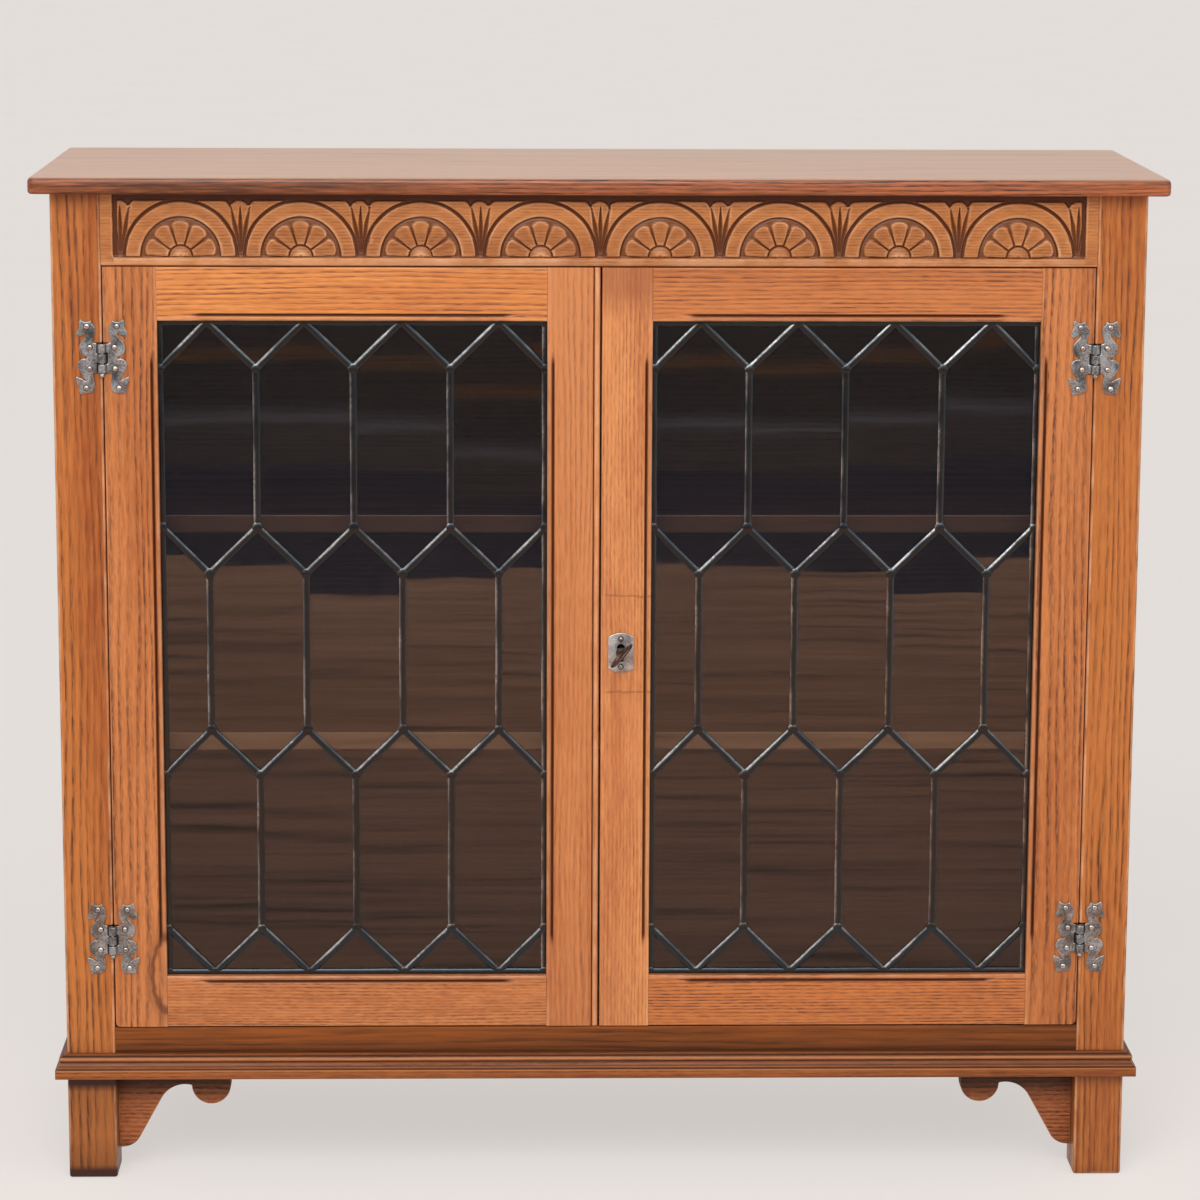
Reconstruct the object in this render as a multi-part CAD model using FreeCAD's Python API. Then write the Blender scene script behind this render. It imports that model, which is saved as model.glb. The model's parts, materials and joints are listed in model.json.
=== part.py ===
import FreeCAD, Part
import math
import os

from FreeCAD import Vector

os.makedirs("parts", exist_ok=True)

# An oak bookcase cabinet with two leaded glass doors on surface hinges, a carved frieze and a lock.
# All sizes are in millimetres. X is the width, Y runs from front to back and Z is the height.
# Pieces are drawn with the front of the posts at y = 0, and save() moves them to the shared origin,
# which is on the floor below the middle of the cabinet.

# Overall size
TOTAL_HEIGHT = 898.0
TOP_WIDTH = 980.0
TOP_DEPTH = 330.0
TOP_THICKNESS = 15.0
TOP_OVERHANG = 18.0
TOP_CORNER_ROUND = 6.0
TOP_UPPER_ROUND = 5.0
TOP_LOWER_ROUND = 3.0
ARRIS_ROUND = 1.2

# Carcass
CARCASS_WIDTH = 946.0
CARCASS_DEPTH = 302.0
POST_WIDTH = 43.0
FRONT_POST_DEPTH = 43.0
REAR_POST_DEPTH = 36.0
SIDE_PANEL_THICKNESS = 12.0
SIDE_PANEL_INSET = 6.0
SIDE_PANEL_BOTTOM = 97.0
BACK_PANEL_THICKNESS = 6.0
BACK_PANEL_INSET = 6.0
PANEL_TONGUE = 8.0
TENON_LENGTH = 20.0
TENON_THICKNESS = 8.0
TENON_SHOULDER = 8.0
FRIEZE_BOTTOM = 820.4
FRIEZE_THICKNESS = 20.6
REAR_RAIL_THICKNESS = 18.0
REAR_TOP_RAIL_HEIGHT = 38.0
BASE_BOTTOM = 94.5
BOTTOM_RAIL_TOP = 139.4
BOTTOM_RAIL_INSET = 1.5
BOTTOM_RAIL_THICKNESS = 26.0
BOARD_LEDGE = 7.0
BOTTOM_BOARD_UNDERSIDE = 130.0
BOTTOM_BOARD_TOP = 147.0
BOARD_GAP = 0.5
SHELF_UNDERSIDES = {"shelf_lower": 384.3, "shelf_upper": 580.4}
SHELF_THICKNESS = 16.0
SHELF_FRONT = 40.0
PEG_RADIUS = 3.5
PEG_LENGTH = 18.0
PEG_DEPTHS = (80.0, 230.0)
STOP_BOTTOM = 811.0
STOP_TOP = 846.0
STOP_BACK = 42.0

# Base moulding, as heights above the floor and distances out from the posts
MOULDING_TOP = 116.5
MOULDING_OUT = 10.0
FASCIA_TOP = 103.0
FILLET_OUT = 8.4
FILLET_TOP = 104.6
COVE_TOP_OUT = 5.6
COVE_TOP = 109.2
BEAD_OUT = 6.9
BEAD_TOP = 114.2
QUIRK_OUT = 3.8

# Brackets under the base, measured from the foot they stand against
BRACKET_SETBACK = 22.0
BRACKET_THICKNESS = 17.0
BRACKET_TIP = 21.0
BRACKET_TOE = (5.0, 21.4)
BRACKET_HEEL = (18.0, 29.5)
BRACKET_SLOPE_END = (39.0, 67.7)
BRACKET_COVE_MIDDLE = (49.5, 77.4)
LOBE_START = 66.0
LOBE_HEIGHT = 79.0
LOBE_RADIUS = 17.4

# Carved frieze: eight lunettes in a row
LUNETTE_COUNT = 8
LUNETTE_PITCH = 103.2
LUNETTE_BASE = 828.0
BAND_OUTER = 47.5
BAND_INNER = 34.5
BAND_GROOVE = 1.8
FAN_RADIUS = 31.5
FAN_SHOULDER = 27.0
FAN_GAP_DEGREES = 2.0
PETAL_COUNT = 5
HUB_RADIUS = 9.5
CARVING_DEPTH = 3.0
DART_FOOT = 842.0
DART_TOP = 876.0
DART_HALF_WIDTH = 1.6
DART_SPREAD = 9.0

# Doors
DOOR_BOTTOM = 140.4
DOOR_TOP = 819.4
DOOR_THICKNESS = 20.0
DOOR_SIDE_GAP = 0.8
STILE_WIDTH = 46.5
SIGHT_WIDTH = 337.0
RAIL_HEIGHT = 46.6
LEFT_CLOSING_EDGE = 0.2
RIGHT_CLOSING_EDGE = 2.8
DOOR_TENON_LENGTH = 24.0
DOOR_TENON_THICKNESS = 6.0
DOOR_TENON_FRONT = 7.0
DOOR_TENON_SHOULDER = 9.0
REBATE_WIDTH = 8.0
REBATE_FRONT = 6.0
CLOSING_BEAD_WIDTH = 5.2
QUIRK_WIDTH = 1.2
QUIRK_DEPTH = 2.4
GROOVE_FROM_SIGHT = 6.4
GROOVE_WIDTH = 1.6
GROOVE_DEPTH = 1.6
GROOVE_STOP = 24.0
GROOVE_RUNOUT = 14.0

# Leaded glass: four columns and three rows of tall hexagons
CAME_WIDTH = 6.0
CAME_THICKNESS = 5.6
CAME_HEART = 1.6
BORDER_HIDDEN = 6.0
BORDER_LINE_INSET = 1.4
ZIGZAG_RISE = 41.0
GLASS_THICKNESS = 3.0
GLASS_SETBACK = 1.3
COLUMNS = 4

# Surface hinges with leaves cut as sea serpents
HINGE_HEIGHTS = {"upper": 740.5, "lower": 221.0}
HINGE_AXIS_OUT = 4.0
LEAF_THICKNESS = 1.6
LEAF_INNER = 4.6
KNUCKLE_RADIUS = 3.7
KNUCKLE_HALF_HEIGHT = 12.6
KNUCKLE_SPLIT = 4.2
KNUCKLE_GAP = 0.3
KNUCKLE_LIFT = 0.3
KNUCKLE_STRAP = 2.2
PIN_RADIUS = 1.6
PIN_CLEARANCE = 0.05
PIN_BALL_RADIUS = 2.3
NAIL_RADIUS = 2.7
NAIL_HEIGHT = 1.5
NAIL_SHANK_RADIUS = 0.9
NAIL_DEPTH = 9.0
NAIL_PLACES = ((12.9, 27.6), (10.6, 9.4), (11.0, -9.2), (14.2, -26.0))
# One leaf's outline, out from the pin and up from the hinge's middle: smooth runs between corners
LEAF_RUNS = (
    ((4.6, 12.6), (7.7, 13.6)),
    ((7.7, 13.6), (6.9, 17.9), (5.6, 23.4), (6.4, 27.6), (8.7, 30.6), (9.1, 32.8)),
    ((9.1, 32.8), (11.6, 31.5), (14.2, 31.4), (18.2, 33.6)),
    ((18.2, 33.6), (19.5, 30.5), (19.6, 26.8), (21.2, 23.6), (21.8, 20.6)),
    ((21.8, 20.6), (20.9, 18.7), (17.4, 19.2), (14.8, 20.6), (12.8, 22.3)),
    ((12.8, 22.3), (13.8, 18.9), (16.8, 15.3), (19.4, 11.2), (19.6, 6.8), (17.6, 2.9), (14.4, 1.6)),
    ((14.4, 1.6), (13.1, 0.4), (14.3, -0.7)),
    ((14.3, -0.7), (17.6, -0.9), (20.3, -3.4), (21.2, -7.0), (19.8, -10.9), (17.0, -15.3), (14.3, -21.2)),
    ((14.3, -21.2), (17.2, -18.4), (20.0, -17.0), (22.6, -16.2)),
    ((22.6, -16.2), (22.3, -20.8), (20.6, -25.6), (20.0, -29.5), (19.0, -31.6)),
    ((19.0, -31.6), (15.0, -30.8), (11.0, -30.4), (9.0, -29.4)),
    ((9.0, -29.4), (7.0, -24.5), (7.4, -18.8), (8.2, -13.6)),
    ((8.2, -13.6), (4.6, -12.6)),
    ((4.6, -12.6), (4.6, 12.6)),
)

# Lock on the right door, with its key turned to the upper right
KEY_X = 19.4
KEY_Z = 482.2
KEY_TILT = 42.0
KEY_SHANK_RADIUS = 2.2
KEY_NECK = 12.0
KEY_TIP = 30.6
KEY_COLLAR_RADIUS = 4.6
KEY_COLLAR_LENGTH = 4.0
BOW_HALF_WIDTH = 14.0
BOW_LENGTH = 22.0
BOW_RIM = 4.4
BOW_THICKNESS = 3.4
BIT_RADIUS = 8.0
BIT_THICKNESS = 2.4
BIT_FRONT = 21.2
BIT_BACK = 28.0
KEYHOLE_RADIUS = 3.3
KEYHOLE_RISE = 2.6
KEYHOLE_SLOT = 4.8
KEYHOLE_DROP = 9.6
ESCUTCHEON_HALF_WIDTH = 11.1
ESCUTCHEON_HALF_HEIGHT = 17.8
ESCUTCHEON_SHOULDER = 14.0
ESCUTCHEON_THICKNESS = 1.2
ESCUTCHEON_CENTRE = 480.5
ESCUTCHEON_PIN = 12.4
ESCUTCHEON_PIN_RADIUS = 2.6
LOCK_WIDTH = 34.0
LOCK_BELOW_KEY = 20.0
LOCK_ABOVE_KEY = 24.0
LOCK_DEPTH = 11.0
LOCK_WALL = 1.5
BOLT_FRONT = 22.5
BOLT_BACK = 26.5
BOLT_BELOW = 3.2
BOLT_ABOVE = 16.0
BOLT_NOSE = (4.6, 13.0)
BOLT_TAIL = 32.6
BOLT_TRAVEL = 8.0
BOLT_CLEARANCE = 0.25
TALON_WIDTH = 7.5
TALON_TOP = 8.8
STUMP_RADIUS = 1.5
STUMP_OFFSET = (2.0, 12.5)
KEEP_WIDTH = 12.0
KEEP_DEPTH = 9.0
KEEP_WALL = 1.4
KEEP_FLANGE = 7.0

# Small bolts inside the left door
DOOR_BOLT_X = -20.0
BOLT_PLATE_WIDTH = 16.0
BOLT_PLATE_LENGTH = 55.0
BOLT_PLATE_THICKNESS = 1.2
BOLT_PLATE_FROM_TIP = 14.5
ROD_RADIUS = 2.5
ROD_AXIS_OUT = 5.2
ROD_LENGTH = 59.0
ROD_TIP_GAP = 1.5
ROD_TRAVEL = 10.0
ROD_HOLE_RADIUS = 3.1
GUIDE_WIDTH = 8.0
GUIDE_LENGTH = 8.0
GUIDE_DEPTH = 9.0
KNOB_FROM_TIP = 41.0
KNOB_RADIUS = 2.4
KNOB_REACH = 9.0

SCREW_HEAD_RADIUS = 2.4
SCREW_HEAD_HEIGHT = 1.2
SCREW_RADIUS = 1.2
SCREW_DEPTH = 8.0

# Worked out from the sizes above
HALF_WIDTH = CARCASS_WIDTH / 2
OPENING = HALF_WIDTH - POST_WIDTH
CARCASS_TOP = TOTAL_HEIGHT - TOP_THICKNESS
REAR_POST_FRONT = CARCASS_DEPTH - REAR_POST_DEPTH
TOP_BACK = TOP_DEPTH - TOP_OVERHANG
PANEL_OUTER = HALF_WIDTH - SIDE_PANEL_INSET
PANEL_INNER = PANEL_OUTER - SIDE_PANEL_THICKNESS
BACK_PANEL_BACK = CARCASS_DEPTH - BACK_PANEL_INSET
BACK_PANEL_FRONT = BACK_PANEL_BACK - BACK_PANEL_THICKNESS
BOTTOM_RAIL_BACK = BOTTOM_RAIL_INSET + BOTTOM_RAIL_THICKNESS
BOARD_FRONT = BOTTOM_RAIL_BACK - BOARD_LEDGE
DOOR_HINGE_EDGE = OPENING - DOOR_SIDE_GAP
SIGHT_OUTER = DOOR_HINGE_EDGE - STILE_WIDTH
SIGHT_INNER = SIGHT_OUTER - SIGHT_WIDTH
SIGHT_BOTTOM = DOOR_BOTTOM + RAIL_HEIGHT
SIGHT_TOP = DOOR_TOP - RAIL_HEIGHT
REAR_RAIL_FRONT = CARCASS_DEPTH - REAR_RAIL_THICKNESS
FRIEZE_SECTION = (0.0, FRIEZE_THICKNESS, FRIEZE_BOTTOM, CARCASS_TOP)
BOTTOM_RAIL_SECTION = (BOTTOM_RAIL_INSET, BOTTOM_RAIL_BACK, BASE_BOTTOM, BOTTOM_RAIL_TOP)
REAR_TOP_SECTION = (REAR_RAIL_FRONT, CARCASS_DEPTH, CARCASS_TOP - REAR_TOP_RAIL_HEIGHT, CARCASS_TOP)
REAR_BOTTOM_SECTION = (REAR_RAIL_FRONT, CARCASS_DEPTH, BASE_BOTTOM, BOTTOM_BOARD_UNDERSIDE)
KEY_REACH = KEY_NECK + BOW_LENGTH
FACE_Y = (KEY_REACH - TOP_BACK) / 2


def block(x0, x1, y0, y1, z0, z1):
    """A plain box between two values on each axis."""
    return Part.makeBox(x1 - x0, y1 - y0, z1 - z0, Vector(x0, y0, z0))


ALONG_X = Vector(1, 0, 0)
ALONG_Z = Vector(0, 0, 1)


def soft_block(x0, x1, y0, y1, z0, z1, along):
    """A box with its long edges eased, as on a planed piece of wood whose grain runs one way."""
    solid = block(x0, x1, y0, y1, z0, z1)
    arrises = [e for e in solid.Edges if abs(e.tangentAt(e.FirstParameter).dot(along)) > 0.9]
    return solid.makeFillet(ARRIS_ROUND, arrises)


def rod(start, direction, radius, length):
    """A cylinder from a start point along a direction."""
    return Part.makeCylinder(radius, length, Vector(*start), Vector(*direction))


def front_prism(points, y0, y1):
    """A solid with an outline of (x, z) points, from depth y0 to y1."""
    corners = [Vector(x, y0, z) for x, z in points]
    return Part.Face(Part.makePolygon(corners + corners[:1])).extrude(Vector(0, y1 - y0, 0))


def line(a, b):
    return Part.LineSegment(a, b).toShape()


def arc(a, middle, b):
    return Part.Arc(a, middle, b).toShape()


def mirrored(shape):
    """The same piece for the other side of the cabinet."""
    return shape.mirror(Vector(0, 0, 0), Vector(1, 0, 0))


def moved(shape, x=0.0, y=0.0, z=0.0):
    copy = shape.copy()
    copy.translate(Vector(x, y, z))
    return copy


def fuse_all(shapes):
    return shapes[0].multiFuse(shapes[1:]).removeSplitter() if len(shapes) > 1 else shapes[0]


def save(name, shape):
    """Writes one sub-part, moved to the shared origin."""
    moved(shape, y=FACE_Y).exportStep(f"parts/{name}.step")
    print(f"{name}: {len(shape.Solids)} solid(s), {shape.Volume / 1000:.1f} cm3")


# Hinges


def leaf_outline():
    """The serpent outline of one leaf, as a face on the wood's surface, pointing along +X."""
    edges = []
    for run in LEAF_RUNS:
        points = [Vector(u, 0, v) for u, v in run]
        if len(points) == 2:
            edges.append(line(*points))
        else:
            curve = Part.BSplineCurve()
            curve.interpolate(points)
            edges.append(curve.toShape())
    return Part.Face(Part.Wire(edges))


def hinge_leaf(spans, bore_radius):
    """One leaf with the knuckles that it carries, pointing along +X from the pin at x = 0."""
    pieces = [leaf_outline().extrude(Vector(0, -LEAF_THICKNESS, 0))]
    for low, high in spans:
        pieces.append(rod((0, -HINGE_AXIS_OUT, low), (0, 0, 1), KNUCKLE_RADIUS, high - low))
        pieces.append(block(1.0, LEAF_INNER + 0.6, -KNUCKLE_STRAP, -KNUCKLE_LIFT, low, high))
    bore = rod((0, -HINGE_AXIS_OUT, -TOTAL_HEIGHT / 2), (0, 0, 1), bore_radius, TOTAL_HEIGHT)
    return fuse_all(pieces).cut(bore)


def domed_nail(x, seat, z, radius, height, depth):
    """A nail driven from the front, with its dome on the surface at y = seat and its shank behind."""
    sphere = (radius ** 2 + height ** 2) / (2 * height)
    rise = math.degrees(math.asin((sphere - height) / sphere))
    dome = Part.makeSphere(sphere, Vector(x, seat + sphere - height, z), Vector(0, -1, 0), rise, 90, 360)
    return dome.fuse(rod((x, seat, z), (0, 1, 0), NAIL_SHANK_RADIUS, depth))


def leaf_nails():
    """The four nails of one leaf, pointing along +X."""
    depth = NAIL_DEPTH + LEAF_THICKNESS
    return [domed_nail(u, -LEAF_THICKNESS, v, NAIL_RADIUS, NAIL_HEIGHT, depth) for u, v in NAIL_PLACES]


MIDDLE_KNUCKLE = [(-KNUCKLE_SPLIT + KNUCKLE_GAP / 2, KNUCKLE_SPLIT - KNUCKLE_GAP / 2)]
OUTER_KNUCKLES = [
    (-KNUCKLE_HALF_HEIGHT, -KNUCKLE_SPLIT - KNUCKLE_GAP / 2),
    (KNUCKLE_SPLIT + KNUCKLE_GAP / 2, KNUCKLE_HALF_HEIGHT),
]
NAILS = leaf_nails()
POST_LEAF = mirrored(hinge_leaf(MIDDLE_KNUCKLE, PIN_RADIUS).cut(Part.makeCompound(NAILS)))
DOOR_LEAF = hinge_leaf(OUTER_KNUCKLES, PIN_RADIUS + PIN_CLEARANCE).cut(Part.makeCompound(NAILS))


def hinge_pin():
    """A pin that fills the knuckles and ends in a small ball below them."""
    length = 2 * KNUCKLE_HALF_HEIGHT + KNUCKLE_GAP
    low = -KNUCKLE_HALF_HEIGHT - KNUCKLE_GAP
    shaft = rod((0, -HINGE_AXIS_OUT, low), (0, 0, 1), PIN_RADIUS, length)
    drop = math.sqrt(PIN_BALL_RADIUS ** 2 - PIN_RADIUS ** 2)
    ball = Part.makeSphere(PIN_BALL_RADIUS, Vector(0, -HINGE_AXIS_OUT, low - drop))
    return shaft.fuse(ball)


# Nails of the left side's posts and doors at their real places; the right side mirrors them
LEFT_POST_NAILS = []
LEFT_DOOR_NAILS = []
for hinge_height in HINGE_HEIGHTS.values():
    LEFT_POST_NAILS += [moved(mirrored(nail), x=-OPENING, z=hinge_height) for nail in NAILS]
    LEFT_DOOR_NAILS += [moved(nail, x=-OPENING, z=hinge_height) for nail in NAILS]


# Carcass


def top_board():
    solid = block(-TOP_WIDTH / 2, TOP_WIDTH / 2, -TOP_OVERHANG, TOP_BACK, CARCASS_TOP, TOTAL_HEIGHT)
    upright = [e for e in solid.Edges if abs(e.BoundBox.ZLength - TOP_THICKNESS) < 0.01]
    solid = solid.makeFillet(TOP_CORNER_ROUND, upright)
    for height, radius in ((TOTAL_HEIGHT, TOP_UPPER_ROUND), (CARCASS_TOP, TOP_LOWER_ROUND)):
        rim = [e for e in solid.Edges if e.BoundBox.ZLength < 0.01 and abs(e.BoundBox.ZMin - height) < 0.01]
        solid = solid.makeFillet(radius, rim)
    return solid


def tenon_bar(y0, y1, z0, z1):
    """The bar inside a rail whose two ends are the tenons that go into the posts."""
    reach = OPENING + TENON_LENGTH
    middle = (y0 + y1) / 2
    half = TENON_THICKNESS / 2
    return block(-reach, reach, middle - half, middle + half, z0 + TENON_SHOULDER, z1 - TENON_SHOULDER)


def cross_rail(y0, y1, z0, z1):
    """A rail between the posts with a tenon at each end."""
    body = soft_block(-OPENING, OPENING, y0, y1, z0, z1, ALONG_X)
    return body.fuse(tenon_bar(y0, y1, z0, z1))


def half_disc(x, radius, y0, y1):
    """The upper half of a disc that stands on the lunettes' base line."""
    a = Vector(x - radius, y0, LUNETTE_BASE)
    b = Vector(x + radius, y0, LUNETTE_BASE)
    outline = Part.Wire([arc(a, Vector(x, y0, LUNETTE_BASE + radius), b), line(b, a)])
    return Part.Face(outline).extrude(Vector(0, y1 - y0, 0))


def polar(x, radius, degrees):
    """A point on the carving's floor, by radius and angle about a lunette's centre."""
    angle = math.radians(degrees)
    return Vector(x + radius * math.cos(angle), CARVING_DEPTH, LUNETTE_BASE + radius * math.sin(angle))


def petal(x, start, end):
    """One petal of a fan: straight sides out from the hub and a rounded end."""
    a, b = polar(x, HUB_RADIUS - 1, start), polar(x, FAN_SHOULDER, start)
    c, d = polar(x, FAN_SHOULDER, end), polar(x, HUB_RADIUS - 1, end)
    tip = polar(x, FAN_RADIUS, (start + end) / 2)
    outline = Part.Wire([line(a, b), arc(b, tip, c), line(c, d), line(d, a)])
    return Part.Face(outline).extrude(Vector(0, -CARVING_DEPTH, 0))


def frieze_rail():
    """The rail below the top, carved with lunettes that hold fans of petals, and darts between them."""
    rail = cross_rail(*FRIEZE_SECTION)
    hollows, raised = [], []
    first = -LUNETTE_PITCH * (LUNETTE_COUNT - 1) / 2
    step = 180 / PETAL_COUNT
    for i in range(LUNETTE_COUNT):
        x = first + i * LUNETTE_PITCH
        groove = half_disc(x, BAND_OUTER + BAND_GROOVE, -1, CARVING_DEPTH)
        hollows.append(groove.cut(half_disc(x, BAND_OUTER, -2, CARVING_DEPTH + 1)))
        hollows.append(half_disc(x, BAND_INNER, -1, CARVING_DEPTH))
        raised.append(half_disc(x, HUB_RADIUS, 0, CARVING_DEPTH))
        for k in range(PETAL_COUNT):
            raised.append(petal(x, k * step + FAN_GAP_DEGREES, (k + 1) * step - FAN_GAP_DEGREES))
    for i in range(LUNETTE_COUNT - 1):
        x = first + (i + 0.5) * LUNETTE_PITCH
        for lean in (-1, 0, 1):
            foot = x + lean * DART_HALF_WIDTH * 1.5
            tip = x + lean * DART_SPREAD
            dart = [(foot, DART_FOOT), (tip + DART_HALF_WIDTH, DART_TOP), (tip - DART_HALF_WIDTH, DART_TOP)]
            hollows.append(front_prism(dart, -1, CARVING_DEPTH / 2))
    return rail.cut(Part.makeCompound(hollows)).multiFuse(raised)


def bottom_rail():
    """The plain rail below the doors, with a ledge behind that carries the bottom board."""
    rail = cross_rail(*BOTTOM_RAIL_SECTION)
    back, top = BOTTOM_RAIL_BACK + 1, BOTTOM_RAIL_TOP + 1
    return rail.cut(block(-OPENING, OPENING, BOARD_FRONT, back, BOTTOM_BOARD_UNDERSIDE, top))


def side_panel():
    """The left panel, tongued into the grooves of its two posts."""
    front = FRONT_POST_DEPTH - PANEL_TONGUE
    back = REAR_POST_FRONT + PANEL_TONGUE
    return block(-PANEL_OUTER, -PANEL_INNER, front, back, SIDE_PANEL_BOTTOM, CARCASS_TOP)


def back_panel():
    half = OPENING + PANEL_TONGUE
    top = CARCASS_TOP - REAR_TOP_RAIL_HEIGHT
    return block(-half, half, BACK_PANEL_FRONT, BACK_PANEL_BACK, BOTTOM_BOARD_UNDERSIDE, top)


def notched_board(front, z0, z1):
    """A board that fills the inside and is cut round the four posts."""
    half = PANEL_INNER - BOARD_GAP
    corner = OPENING - BOARD_GAP
    board = block(-half, half, front, BACK_PANEL_FRONT - BOARD_GAP, z0, z1)
    for x0, x1 in ((-half - 1, -corner), (corner, half + 1)):
        board = board.cut(block(x0, x1, front - 1, FRONT_POST_DEPTH + BOARD_GAP, z0 - 1, z1 + 1))
        board = board.cut(block(x0, x1, REAR_POST_FRONT - BOARD_GAP, CARCASS_DEPTH, z0 - 1, z1 + 1))
    return board


def shelf_pegs():
    """Four pegs below each shelf, set in the side panels."""
    pegs = []
    outer = PANEL_INNER + PANEL_TONGUE
    for underside in SHELF_UNDERSIDES.values():
        for y in PEG_DEPTHS:
            peg = rod((-outer, y, underside - PEG_RADIUS), (1, 0, 0), PEG_RADIUS, PEG_LENGTH)
            pegs += [peg, mirrored(peg)]
    return pegs


def door_stop():
    """A strip behind the frieze that the doors close against."""
    return block(-OPENING + BOARD_GAP, OPENING - BOARD_GAP, FRIEZE_THICKNESS, STOP_BACK, STOP_BOTTOM, STOP_TOP)


def moulding_section():
    """The base moulding's section in the plane x = 0, with its back on the posts."""
    at = lambda out, height: Vector(0, -out, height)
    cove = at(COVE_TOP_OUT + 0.3 * (FILLET_OUT - COVE_TOP_OUT), FILLET_TOP + 0.35 * (COVE_TOP - FILLET_TOP))
    edges = [
        line(at(0, BASE_BOTTOM), at(MOULDING_OUT, BASE_BOTTOM)),
        line(at(MOULDING_OUT, BASE_BOTTOM), at(MOULDING_OUT, FASCIA_TOP)),
        line(at(MOULDING_OUT, FASCIA_TOP), at(FILLET_OUT, FASCIA_TOP)),
        line(at(FILLET_OUT, FASCIA_TOP), at(FILLET_OUT, FILLET_TOP)),
        arc(at(FILLET_OUT, FILLET_TOP), cove, at(COVE_TOP_OUT, COVE_TOP)),
        arc(at(COVE_TOP_OUT, COVE_TOP), at(BEAD_OUT, (COVE_TOP + BEAD_TOP) / 2), at(COVE_TOP_OUT, BEAD_TOP)),
        line(at(COVE_TOP_OUT, BEAD_TOP), at(QUIRK_OUT, BEAD_TOP)),
        line(at(QUIRK_OUT, BEAD_TOP), at(QUIRK_OUT, MOULDING_TOP)),
        line(at(QUIRK_OUT, MOULDING_TOP), at(0, MOULDING_TOP)),
        line(at(0, MOULDING_TOP), at(0, BASE_BOTTOM)),
    ]
    return Part.Face(Part.Wire(edges))


def mitre(corner):
    """A prism with a 45 degree face through the carcass's left front corner, and its third corner as given."""
    far = MOULDING_OUT + 2
    points = [Vector(-HALF_WIDTH, 0, 0), Vector(-HALF_WIDTH - far, -far, 0), Vector(*corner, 0)]
    return Part.Face(Part.makePolygon(points + points[:1])).extrude(Vector(0, 0, MOULDING_TOP + 1))


def front_moulding():
    reach = HALF_WIDTH + MOULDING_OUT
    length = moved(moulding_section(), x=-reach).extrude(Vector(2 * reach, 0, 0))
    end = mitre((-HALF_WIDTH - MOULDING_OUT - 2, 0))
    return length.cut(end).cut(mirrored(end))


def left_moulding():
    section = moulding_section()
    section.rotate(Vector(0, 0, 0), Vector(0, 0, 1), -90)
    length = moved(section, x=-HALF_WIDTH, y=-MOULDING_OUT).extrude(Vector(0, CARCASS_DEPTH + MOULDING_OUT, 0))
    return length.cut(mitre((-HALF_WIDTH, -MOULDING_OUT - 2)))


def left_bracket():
    """A bracket sawn with a sloping leg, a cove and a round drop, in the corner of foot and base."""
    at = lambda point: Vector(point[0] - OPENING, BRACKET_SETBACK, point[1])
    lobe_end = LOBE_START + 2 * LOBE_RADIUS
    corners = [(0, BASE_BOTTOM), (0, BRACKET_TIP), BRACKET_TOE]
    edges = [line(at(a), at(b)) for a, b in zip(corners, corners[1:])]
    toe_middle = ((BRACKET_TOE[0] + BRACKET_HEEL[0]) / 2 + 1.0, (BRACKET_TOE[1] + BRACKET_HEEL[1]) / 2 - 1.4)
    edges.append(arc(at(BRACKET_TOE), at(toe_middle), at(BRACKET_HEEL)))
    edges.append(line(at(BRACKET_HEEL), at(BRACKET_SLOPE_END)))
    edges.append(arc(at(BRACKET_SLOPE_END), at(BRACKET_COVE_MIDDLE), at((LOBE_START, LOBE_HEIGHT))))
    lowest = (LOBE_START + LOBE_RADIUS, LOBE_HEIGHT - LOBE_RADIUS)
    edges.append(arc(at((LOBE_START, LOBE_HEIGHT)), at(lowest), at((lobe_end, LOBE_HEIGHT))))
    edges.append(line(at((lobe_end, LOBE_HEIGHT)), at((lobe_end, BASE_BOTTOM))))
    edges.append(line(at((lobe_end, BASE_BOTTOM)), at((0, BASE_BOTTOM))))
    return Part.Face(Part.Wire(edges)).extrude(Vector(0, BRACKET_THICKNESS, 0))


# Doors


def door_bolt(tip, way):
    """A round bolt with a finger knob, inside the left door. Its tip points up (way 1) or down (way -1)."""
    y = DOOR_THICKNESS + ROD_AXIS_OUT
    bar = rod((DOOR_BOLT_X, y, tip), (0, 0, -way), ROD_RADIUS, ROD_LENGTH)
    knob = rod((DOOR_BOLT_X, y, tip - way * KNOB_FROM_TIP), (0, 1, 0), KNOB_RADIUS, KNOB_REACH)
    return bar.fuse(knob)


def screw(x, seat, z):
    """A round-headed screw driven from behind, with its head on the surface at y = seat."""
    shank = rod((x, seat, z), (0, -1, 0), SCREW_RADIUS, SCREW_DEPTH)
    return shank.fuse(rod((x, seat, z), (0, 1, 0), SCREW_HEAD_RADIUS, SCREW_HEAD_HEIGHT))


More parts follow.
